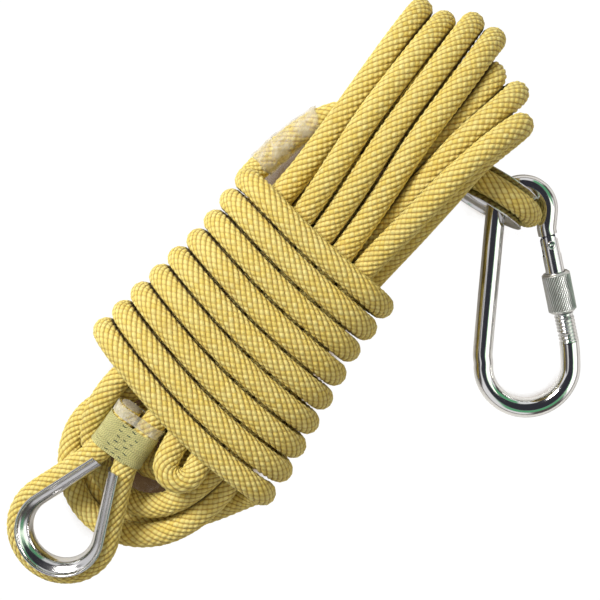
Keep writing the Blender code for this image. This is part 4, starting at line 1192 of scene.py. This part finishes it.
whip_thread = thread_material("whipping_thread_fine", (0.70, 0.66, 0.29), (0.34, 0.33, 0.13), 1.1)
lock_green = thread_material("lock_thread_fine", (0.045, 0.085, 0.035), (0.012, 0.030, 0.014), 0.8)
splice_film = film_material("splice_film", (0.70, 0.66, 0.46), 0.10, 0.62)
fittings = {}
for tag, eye, s1, sl, body in (
    ("free", FREE, WHIP_S1, (63.4, FREE.ps - 1.2), "free_eye"),
    ("hook", HOOK, HOOK_WHIP_S1, (59.9, HOOK.ps - 1.2), "hook_eye"),
):
    node = tag + "_eye"
    th = thimble("thimble_" + tag, eye, bright_steel)
    wh = whipping("whipping_" + tag, eye, s1, whip_thread)
    st = lock_stitches("lock_stitch_" + tag, eye, s1, lock_green)
    fl = racetrack_sleeve("splice_film_" + tag, eye, sl[0], sl[1], splice_film, 6.35, 7.0, 0.10, 0.7)
    for ob, what, sname in ((th, "_thimble", "thimble_steel"), (wh, "_whipping", "whipping_thread"), (st, "_lock_stitch", "lock_thread"), (fl, "_splice_sleeve", "clear_sleeve")):
        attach(ob, body)
        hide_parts(node + what)

# clear film over the tail where it leaves the last wrap
tail_film = film_material("tail_film", (0.72, 0.64, 0.42), 0.07, 0.48)


def film_tube(name, i0, i1, r_out, r_in, mat):
    p = COURSE[i0 : i1 + 1 : 2]
    m = 46
    a = 2 * np.pi * np.arange(m) / m
    t, u, v = _t[i0 : i1 + 1 : 2], _u[i0 : i1 + 1 : 2], _v[i0 : i1 + 1 : 2]
    s = np.arange(len(p))[:, None] * ROW * 2
    wr = 0.20 * np.sin(4 * a[None] + 0.55 * s) + 0.13 * np.sin(7 * a[None] - 0.9 * s + 1.0) + 0.10 * np.sin(1.3 * s)
    d = np.cos(a)[None, :, None] * u[:, None, :] + np.sin(a)[None, :, None] * v[:, None, :]
    outer = p[:, None, :] + (r_out + wr)[..., None] * d
    inner = p[:, None, :] + (r_in + wr)[..., None] * d
    ends = 0.8 * np.sin(2 * a + 0.5) + 0.5 * np.sin(5 * a)
    outer[0] += ends[:, None] * t[0] * 0.8
    inner[0] += ends[:, None] * t[0] * 0.8
    outer[-1] += ends[:, None] * t[-1] * 0.8
    inner[-1] += ends[:, None] * t[-1] * 0.8
    return recalc(loft(name, np.concatenate([outer, inner[::-1]]), mat, closed_path=True))


_i0 = row_near(FINE_A, N_ROWS - 1500)
_i1 = row_near(FINE_B, N_ROWS - 1500)
tail = film_tube("tail_film_sleeve", _i0, _i1, 6.95, 6.6, tail_film)
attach(tail, "coil")
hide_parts("tail_sleeve")

for ob, body, nodes in ((coil_rope, "coil", ("rope_sheath", "rope_core")), (free_rope, "free_eye", ("free_eye_sheath",)), (hook_rope, "hook_eye", ("hook_eye_sheath",)), (free_end, "free_eye", ("free_eye_core",)), (hook_end, "hook_eye", ("hook_eye_core",))):
    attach(ob, body)
    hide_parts(*nodes)
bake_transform(free_neck)
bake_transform(hook_neck)
# ---- snap hook at full detail -----------------------------------------------
hook_steel = steel_material("hook_plate", (0.76, 0.755, 0.75), 0.085, 1.0)
gate_steel = steel_material("gate_plate", (0.80, 0.80, 0.81), 0.11, 1.0)
part_steel = steel_material("small_parts", (0.70, 0.70, 0.71), 0.2, 0.6)
knurl_steel = satin_material("knurled_plate")


def add(name, verts, faces, kind, origin=(0, 0, 0), triangulate=True):
    me = bpy.data.meshes.new(name)
    me.from_pydata([tuple(row(p)) for p in verts], [], [tuple(int(k) for k in f) for f in faces])
    bm = bmesh.new()
    bm.from_mesh(me)
    bmesh.ops.recalc_face_normals(bm, faces=bm.faces)
    bm.to_mesh(me)
    bm.free()
    ob = bpy.data.objects.new(name, me)
    bpy.context.collection.objects.link(ob)
    if kind is not None:
        me.materials.append(kind)
    return ob


def thread_radius(t, ang):
    """Single-start 60 degree thread, crest and root slightly flattened."""
    f = (t / THREAD_PITCH - ang / (2 * np.pi)) % 1.0
    tri = 1 - np.abs(2 * f - 1)
    return THREAD_ROOT + (THREAD_CREST - THREAD_ROOT) * smoothstep((tri - 0.12) / 0.76)


def lathe(name, ts, rad, sides, mat, caps=True):
    """Rings on the gate's axis; rad(t, angle) gives each radius."""
    a = 2 * np.pi * np.arange(sides) / sides
    rings = []
    for t in ts:
        r = rad(t, a)
        c = gp(t, 0)
        rings.append(c + (r * np.cos(a))[:, None] * GI + (r * np.sin(a))[:, None] * GZ)
    return recalc(loft(name, rings, mat, caps=caps))


# bar
keep = np.array([q for q in BAR if np.dot(q[:2] - G_HINGE, G_DIR) < -1 or np.dot(q[:2] - G_HINGE, G_DIR) > STRAIGHT + 0.6 or abs(np.dot(q[:2] - G_HINGE, G_IN)) > 3])
line = resample(keep, 0.9)
nose_t = np.arange(STRAIGHT, LAP0 - 0.01, -0.16)
nose = np.array([[*(G_HINGE + G_DIR * t), 0.0] for t in nose_t])
pw = np.array([hp(q[0], q[1]) for q in np.vstack([line, nose])])
SIDES = 44
ang = 2 * np.pi * np.arange(SIDES) / SIDES
rad = np.full((len(pw), SIDES), WIRE_R)
for k in range(len(nose_t)):
    fade = smoothstep((STRAIGHT - nose_t[k]) / 1.0)
    rad[len(line) + k] = WIRE_R * (1 - fade) + fade * thread_radius(nose_t[k], -ang)
for k in range(8):
    rad[k] = GATE_R + (WIRE_R - GATE_R) * smoothstep(k / 7.0)
_tt, _uu, _vv = frames(pw)
rings = pw[:, None, :] + rad[..., None] * (np.cos(ang)[None, :, None] * _uu[:, None, :] + np.sin(ang)[None, :, None] * _vv[:, None, :])
bar = recalc(loft("hook_bar", rings, hook_steel))
cam = []
for a in np.linspace(-100, 100, 41):
    r = 3.3 + PLUNGER_LIFT * min(1.0, max(0.0, a / GATE_OPEN)) if a < 60 else 3.3 + PLUNGER_LIFT * max(0.0, (100 - a) / 40.0)
    cam.append((r * math.cos(math.radians(a)), r * math.sin(math.radians(a))))
outline = [(-SEAM - 2.5, -3.0)] + cam + [(-SEAM - 2.5, 3.0)]
tg = gate_prism("tang_form", outline, -TANG_T / 2, TANG_T / 2)
cut(bar, [tg], "UNION")
hole = gate_prism("rivet_hole", [(1.5 * math.cos(2 * math.pi * k / 24), 1.5 * math.sin(2 * math.pi * k / 24)) for k in range(24)], -9, 9)
lap = gate_box("lap_form", LAP0 - 3, LAP1 + 0.4, -0.2, 8, -8, 8)
cut(bar, [hole, lap])
polish(bar, angle=32)

# gate
ts = [-GATE_R] + list(np.arange(-4.0, 26.0, 1.0)) + list(np.arange(26.0, LAP1 - 0.2, 0.16)) + [LAP1 - 0.2]


def gate_radius(t, a):
    if t < 26.0:
        return np.full_like(a, GATE_R)
    k = smoothstep((t - 26.0) / 0.9)
    r = GATE_R * (1 - k) + k * thread_radius(t, a)
    return r - 0.35 * smoothstep((t - (LAP1 - 0.9)) / 0.7)


gate = lathe("gate_barrel", ts, gate_radius, 48, gate_steel)
nose_round = [(GATE_R * math.cos(math.radians(a)), GATE_R * math.sin(math.radians(a))) for a in np.linspace(90, 270, 25)]
keep_form = gate_prism("gate_end_form", [(x, y * 1.02) for x, y in nose_round] + [(0.3, -8), (60, -8), (60, 8), (0.3, 8)], -8, 8)
cut(gate, [keep_form], "INTERSECT")
slot = gate_box("slot_form", -9, 5.2, -9, 9, -SLOT_T / 2, SLOT_T / 2)
lap2 = gate_box("gate_lap_form", LAP0 - 0.4, LAP1 + 4, -9, 0.15, -9, 9)
bore = gate_round("bore_form", [(4.6, 2.3), (17.0, 2.3)], 24)
hole = gate_prism("gate_rivet_hole", [(1.5 * math.cos(2 * math.pi * k / 24), 1.5 * math.sin(2 * math.pi * k / 24)) for k in range(24)], -9, 9)
cut(gate, [slot, lap2, bore, hole])
polish(gate, angle=32)

# rivet: two domed heads, each with the peening tool's dimple
prof = [(-5.02, 0.02), (-5.10, 0.35), (-5.34, 0.75), (-5.30, 1.25), (-5.12, 1.75), (-4.86, 2.08), (-4.62, 2.15), (-4.56, 1.9), (-4.5, 1.45)]
prof = prof + [(-z, r) for z, r in reversed(prof)]
m = 36
a = 2 * np.pi * np.arange(m) / m
rings = [HINGE + AZ * z + (r * np.cos(a))[:, None] * GI + (r * np.sin(a))[:, None] * GT for z, r in prof]
rivet = polish(recalc(loft("rivet_fine", rings, part_steel)), angle=60)

# plunger and spring in the gate's bore
plunger = lathe("plunger_fine", [4.25, 4.45, 4.8, 5.3, 5.8, 6.2, 8.5, 8.62, 8.7, 10.2], lambda t, a: np.full_like(a, np.interp(t, [4.25, 4.45, 4.8, 5.3, 5.8, 6.2, 8.5, 8.62, 8.7, 10.2], [0.35, 0.8, 1.15, 1.5, 1.8, 2.0, 2.0, 1.2, 0.75, 0.75])), 28, part_steel)
polish(plunger, angle=35)
k = np.arange(0, 4.0 * 40 + 1)
aa = 2 * np.pi * k / 40
hel = np.array([gp(9.35 + (16.3 - 9.35) * q / k[-1], 1.65 * math.cos(w), 1.65 * math.sin(w)) for q, w in zip(k, aa)])
spring = recalc(tube("spring_fine", hel, 0.34, 10, part_steel))

# locking sleeve: diagonal knurl over its whole length, plain chamfered ends
S0 = 23.8 - SLEEVE_LEN / 2
S1 = S0 + SLEEVE_LEN
KN = 32


def sleeve_out(t, a):
    edge = smoothstep((t - S0 - 0.9) / 0.5) * smoothstep((S1 - 0.9 - t) / 0.5)
    cham = 0.95 * (1 - smoothstep((t - S0) / 1.0)) + 0.95 * (1 - smoothstep((S1 - t) / 1.0))
    f = (KN * a / (2 * np.pi) + (t - S0) * 0.50) % 1.0
    g = (KN * a / (2 * np.pi) - (t - S0) * 0.50) % 1.0
    ridge = 1 - np.abs(2 * f - 1)
    cross = 1 - np.abs(2 * g - 1)
    depth = 0.58 * (1 - smoothstep(ridge / 0.70)) + 0.12 * (1 - smoothstep(cross / 0.45))
    return SLEEVE_R - cham - edge * depth, edge * depth / 0.6


m = 240
a = 2 * np.pi * np.arange(m) / m
rings, grooves = [], []
for t in np.concatenate([[S0], S0 + np.arange(0.2, SLEEVE_LEN, 0.22), [S1]]):
    r, g = sleeve_out(t, a)
    grooves.append(g)
    rings.append(gp(t, 0) + (r * np.cos(a))[:, None] * GI + (r * np.sin(a))[:, None] * GZ)
for t, q in ((S1, SLEEVE_BORE + 0.35), (S1 - 0.7, SLEEVE_BORE), (S0 + 0.7, SLEEVE_BORE), (S0, SLEEVE_BORE + 0.35)):
    rings.append(gp(t, 0) + q * (np.cos(a)[:, None] * GI + np.sin(a)[:, None] * GZ))
    grooves.append(np.zeros(m))
sleeve = loft("sleeve_fine", rings, knurl_steel, closed_path=True)
# groove depth per vertex, which the sleeve material paints as shade
groove_shade = sleeve.data.attributes.new("groove", "FLOAT", "POINT")
groove_shade.data.foreach_set("value", np.array(grooves).astype(np.float32).ravel())
sleeve = polish(recalc(sleeve), angle=55)

for ob, body, node, sname in (
    (bar, "snap_hook", "hook_body", "hook_steel"),
    (rivet, "snap_hook", "gate_rivet", "hook_steel"),
    (gate, "gate", "gate_body", "hook_steel"),
    (spring, "gate", "gate_spring", "spring_steel"),
    (plunger, "plunger", "gate_plunger", "spring_steel"),
    (sleeve, "sleeve", "locking_sleeve", "sleeve_steel"),
):
    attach(ob, body)
    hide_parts(node)
# ---- floor, light, camera ---------------------------------------------------
AIM = Vector(row((0.0, -11.0, 0.0)))
AIM.z = 0.03
RIGHT = Vector((0.607, -0.795, 0.0)).normalized()
IMG_UP = Vector((0.795, 0.607, 0.0)).normalized()

floor_m = Nodes("pale_floor")
floor_col = floor_m.mix(floor_m.ramp(floor_m.noise(floor_m.obj(), 3.0, 2.0), 0.3, 0.7), (0.90, 0.90, 0.90), (0.93, 0.93, 0.93))
floor_m.set(color=floor_col, rough=0.9, spec=0.05)
# painted shade: to the camera the paper is an emission, white in the open and darkened to brown by an
# ambient-occlusion mask in gaps the light can't reach
_ao = floor_m.node("ShaderNodeAmbientOcclusion", Distance=0.045, _samples=16)
_deep = floor_m.ramp(_ao.outputs["AO"], 0.10, 0.36, 0.0, 1.0)
_open = floor_m.ramp(_ao.outputs["AO"], 0.30, 0.46, 0.0, 1.0)
_shade = floor_m.mix(_deep, (0.040, 0.020, 0.008), (0.30, 0.20, 0.10))
_shade = floor_m.mix(_open, _shade, (1.04, 1.04, 1.04))
_em = floor_m.node("ShaderNodeEmission", Color=_shade, Strength=1.0)
_lp = floor_m.node("ShaderNodeLightPath")
_mx = floor_m.t.nodes.new("ShaderNodeMixShader")
_out = [q for q in floor_m.t.nodes if q.type == "OUTPUT_MATERIAL"][0]
floor_m.put(_mx.inputs[0], _lp.outputs["Is Camera Ray"])
floor_m.t.links.new(floor_m.b.outputs[0], _mx.inputs[1])
floor_m.t.links.new(_em.outputs[0], _mx.inputs[2])
floor_m.t.links.new(_mx.outputs[0], _out.inputs[0])
me = bpy.data.meshes.new("floor")
bm = bmesh.new()
bmesh.ops.create_grid(bm, x_segments=8, y_segments=8, size=4.0)
bm.to_mesh(me)
bm.free()
floor = bpy.data.objects.new("floor", me)
floor.location = (0, 0, -0.0012)
bpy.context.collection.objects.link(floor)
me.materials.append(floor_m.m)


def area(name, pos, size, power, color=(1, 1, 1)):
    l = bpy.data.lights.new(name, "AREA")
    l.shape = "RECTANGLE"
    l.size, l.size_y = size
    l.energy = power
    l.color = color
    o = bpy.data.objects.new(name, l)
    o.location = AIM + Vector(pos)
    o.rotation_euler = (AIM - o.location).to_track_quat("-Z", "Y").to_euler()
    bpy.context.collection.objects.link(o)
    return o


left = -RIGHT
area("key", left * 0.85 + IMG_UP * 0.75 + Vector((0, 0, 1.15)), (0.60, 0.60), 28.5, (1.0, 0.985, 0.95))
area("fill", RIGHT * 1.2 - IMG_UP * 0.5 + Vector((0, 0, 1.0)), (1.0, 1.0), 4.6, (1.0, 0.95, 0.86))
area("top", left * 0.1 + Vector((0, 0, 1.7)), (1.2, 1.2), 5.0, (1.0, 0.95, 0.86)).visible_glossy = False

world = bpy.data.worlds.new("studio")
bpy.context.scene.world = world
world.use_nodes = True
wt = world.node_tree
wt.nodes.clear()


def wn(kind, **kw):
    n = wt.nodes.new(kind)
    for k, v in kw.items():
        setattr(n, k, v)
    return n


def wmath(op, a, b=0.0):
    n = wn("ShaderNodeMath", operation=op)
    for s, v in ((n.inputs[0], a), (n.inputs[1], b)):
        if isinstance(v, bpy.types.NodeSocket):
            wt.links.new(v, s)
        else:
            s.default_value = v
    return n.outputs[0]


# what polished steel mirrors: white tents with dark gaps, a green card low down
coord = wn("ShaderNodeTexCoord")


def wdot(v):
    n = wn("ShaderNodeVectorMath", operation="DOT_PRODUCT")
    wt.links.new(coord.outputs["Generated"], n.inputs[0])
    n.inputs[1].default_value = tuple(v)
    return n.outputs["Value"]


def wstep(x, x0, x1):
    n = wn("ShaderNodeMapRange", interpolation_type="SMOOTHSTEP")
    wt.links.new(x, n.inputs["Value"])
    n.inputs["From Min"].default_value = x0
    n.inputs["From Max"].default_value = x1
    return n.outputs[0]


def wmix(f, a, b):
    n = wn("ShaderNodeMix", data_type="RGBA")
    wt.links.new(f, n.inputs[0])
    for s, v in ((n.inputs[6], a), (n.inputs[7], b)):
        if isinstance(v, bpy.types.NodeSocket):
            wt.links.new(v, s)
        else:
            s.default_value = (*v, 1.0)
    return n.outputs[2]


r_, u_, z_ = wdot(RIGHT), wdot(IMG_UP), wdot((0, 0, 1))
az_ = wmath("ARCTAN2", u_, r_)
wave_ = wmath("MULTIPLY", wmath("SINE", wmath("MULTIPLY", az_, 3.0)), 0.02)
q_ = wmath("ADD", wmath("ADD", wmath("SUBTRACT", z_, wmath("MULTIPLY", r_, 0.12)), wmath("MULTIPLY", u_, 0.20)), wave_)
dark_ = wstep(q_, 0.72, 0.775)
side_ = wstep(wmath("SUBTRACT", r_, wmath("MULTIPLY", u_, 0.35)), 0.10, 0.22)
green_ = wmath("MULTIPLY", wmath("MULTIPLY", wstep(q_, 0.36, 0.44), wmath("SUBTRACT", 1.0, dark_)), side_)
rim_ = wmath("MULTIPLY", wstep(z_, 0.0, 0.05), wmath("SUBTRACT", 1.0, wstep(z_, 0.14, 0.22)))
gap_ = wmath("MULTIPLY", wstep(wmath("ABSOLUTE", wmath("SINE", wmath("ADD", wmath("MULTIPLY", az_, 2.0), 0.6))), 0.80, 0.94), wmath("SUBTRACT", 1.0, wstep(z_, 0.55, 0.75)))
sky_ = wmix(rim_, (0.84, 0.84, 0.85), (0.20, 0.17, 0.14))
sky_ = wmix(gap_, sky_, (0.10, 0.09, 0.085))
sky_ = wmix(green_, sky_, (0.12, 0.40, 0.20))
sky_ = wmix(dark_, sky_, (0.035, 0.035, 0.045))
mirror = wn("ShaderNodeBackground")
wt.links.new(sky_, mirror.inputs[0])
mirror.inputs[1].default_value = 1.05
plain = wn("ShaderNodeBackground")
plain.inputs[0].default_value = (1.0, 0.92, 0.80, 1)
plain.inputs[1].default_value = 0.09
lp = wn("ShaderNodeLightPath")
mixs = wn("ShaderNodeMixShader")
wt.links.new(lp.outputs["Is Glossy Ray"], mixs.inputs[0])
wt.links.new(plain.outputs[0], mixs.inputs[1])
wt.links.new(mirror.outputs[0], mixs.inputs[2])
white = wn("ShaderNodeBackground")
white.inputs[1].default_value = 1.0
mixc = wn("ShaderNodeMixShader")
wt.links.new(lp.outputs["Is Camera Ray"], mixc.inputs[0])
wt.links.new(mixs.outputs[0], mixc.inputs[1])
wt.links.new(white.outputs[0], mixc.inputs[2])
outw = wn("ShaderNodeOutputWorld")
wt.links.new(mixc.outputs[0], outw.inputs[0])

cam = bpy.data.cameras.new("camera")
cam.lens = 85.0
cam.sensor_width = 36.0
cam_o = bpy.data.objects.new("camera", cam)
bpy.context.collection.objects.link(cam_o)
bpy.context.scene.camera = cam_o
FIELD = 0.284
dist = FIELD / 2 / (cam.sensor_width / 2 / cam.lens)
back = RIGHT.cross(IMG_UP)
cam_o.matrix_world = Matrix.Translation(AIM + back * dist) @ Matrix((RIGHT, IMG_UP, back)).transposed().to_4x4()
cam.dof.use_dof = False
view = bpy.context.scene.view_settings
view.view_transform = "Standard"
view.exposure = 0.0

bpy.context.view_layer.update()
